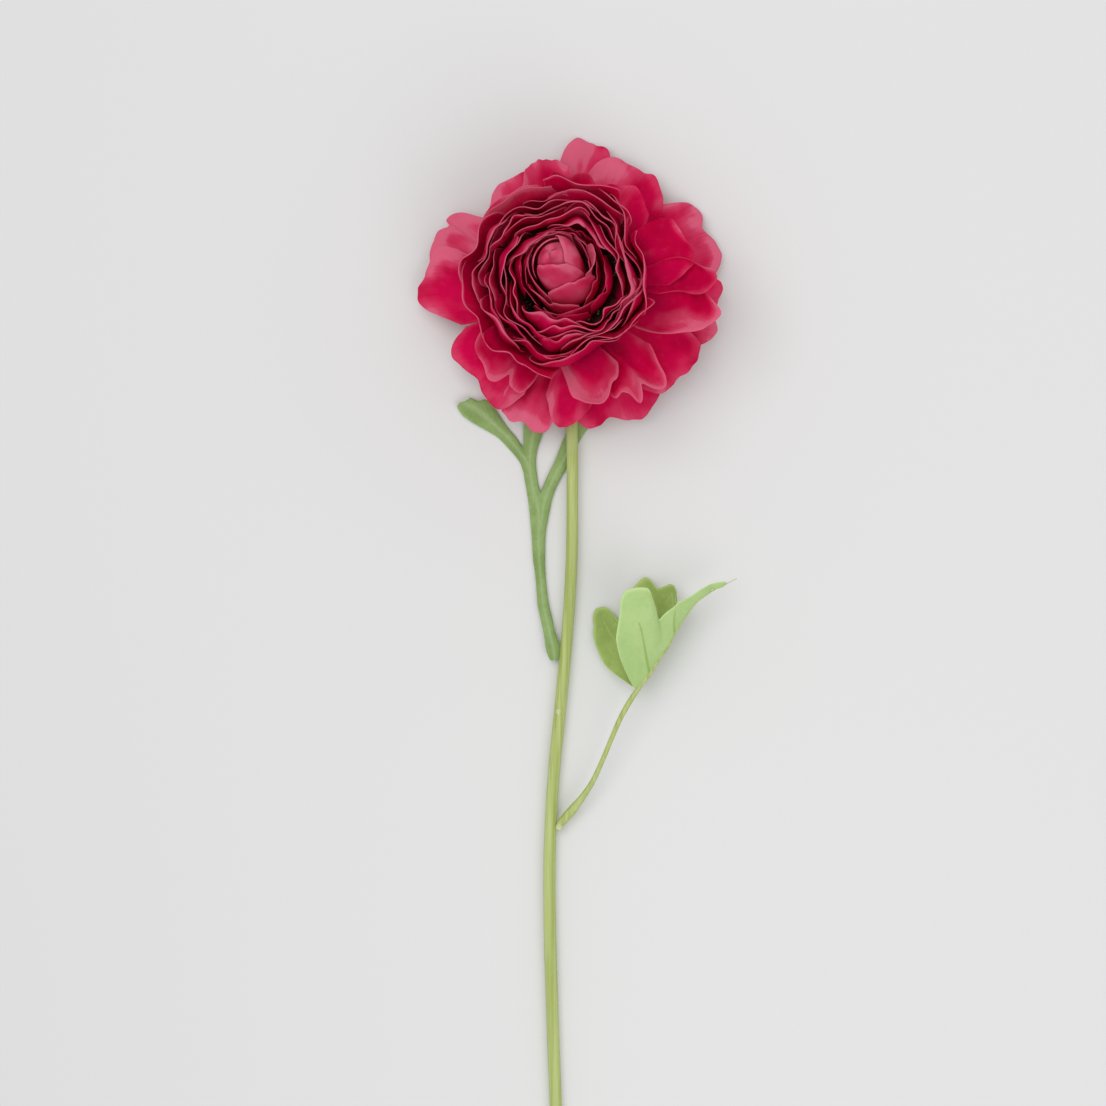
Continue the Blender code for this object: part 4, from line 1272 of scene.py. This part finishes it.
# Veins: their line in millimetres beside the flower, and their half width at the foot and at the
# tip
UPPER_VEINS = (
    (((27.5, -136.5), (26.6, -132.5), (25.6, -127), (24.6, -122), (23.6, -118.4)), 0.62, 0.2),
    (((36.3, -121.8), (36, -119.5), (36, -117), (36.5, -114.5)), 0.5, 0.15),
)
LOWER_VEINS = (
    (((28, -136.4), (22, -131.5), (16, -125.5), (11.5, -118.5)), 0.6, 0.15),
    (((31.5, -130.8), (29.8, -122), (28.2, -113), (26.8, -106)), 0.55, 0.15),
    (((35.3, -124.8), (36, -118), (36.2, -112.5), (35.6, -108)), 0.5, 0.15),
)
MIDRIB = UPPER_HALF[::2] + UPPER_HALF[-1:]


def rib_height(x):
    return np.interp(x, *np.transpose(RIB_HEIGHTS))


def near_line(points, line, first, last):
    """1 on a line and 0 beside it, for flat points, with the line's half width at its two ends (mm)."""
    share = np.linspace(0, 1, 60)
    spots = smooth_line(line, share)
    gaps = np.linalg.norm(points[:, None, :2] - spots[None], axis=2)
    half = (first + (last - first) * share)[gaps.argmin(1)]
    return 1 - ease(gaps.min(1), 0.35 * half, 1.3 * half)


def blade_half(name, rows, slope, veins, skin, curl):
    """Half a blade, which rises from the midrib at a slope (degrees) and curls across its width."""

    def flat_place(u, v):
        line = smooth_line(rows, (u + 1) / 2)
        rib, edge = line[..., :2], line[..., 2:]
        return rib + (edge - rib) * v[..., None], rib, np.linalg.norm(edge - rib, axis=-1)

    def place(u, v):
        spot, rib, width = flat_place(u, v)
        rise = math.tan(math.radians(slope)) * width * v + curl * np.sin(math.pi * v) * width / 20
        wrinkles = 0.4 * crinkle(u, v, name, 4, 11) * ease(v, 0.1, 0.6) * np.clip(width / 12, 0, 1)
        z = rib_height(rib[..., 0]) + rise + wrinkles
        return beside_flower(np.concatenate([spot, np.maximum(z, 0.6)[..., None]], -1))

    def tone(u, v):
        spot = flat_place(u, v)[0]
        vein = np.max([near_line(spot, *vein) for vein in veins], axis=0)
        return {"vein": vein, "edge": ease(v, 0.94, 1.0), "shade": 0.25 * (1 - ease(v, 0.0, 0.12))}

    made = thin_sheet(name, place, 150, 44, tone, skin, 0.42, 0.3)
    return made


def lower_leaf():
    pale = green_skin("pale_blade", (0.44, 0.64, 0.23), (0.56, 0.76, 0.32), (0.33, 0.48, 0.10))
    dark = green_skin("dark_blade", (0.27, 0.38, 0.08), (0.46, 0.61, 0.18), (0.50, 0.65, 0.23))
    upper = blade_half("upper_half", UPPER_HALF, 29, UPPER_VEINS, pale, 1.2)
    blade_half("lower_half", LOWER_HALF, -24, LOWER_VEINS, dark, -1.0)
    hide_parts("lower_leaf")
    inputs = {"Ribs": 5.0, "Rib height": 0.05, "Swelling": 0.08, "Seed": 8}
    radii = (1.35, 1.6, 1.2, 0.95, 0.87, 0.85, 0.9, 0.95, 0.8)
    mesh = stalk("leaf_stalk", LOWER_STALK, radii, 120, stem_finish, **inputs)
    finished("leaf_stalk", mesh, stem_finish)
    rib = [(x, y, rib_height(x)) for x, y, _, _ in MIDRIB]
    rib.append((58.6, -103.0, 12.0))  # its tip, past the blade
    sizes = [0.8 - 0.045 * index for index in range(len(rib) - 1)] + [0.1]
    mesh = stalk("midrib", rib, sizes, 120, stem_finish, **inputs)
    finished("midrib", mesh, stem_finish)


lower_leaf()
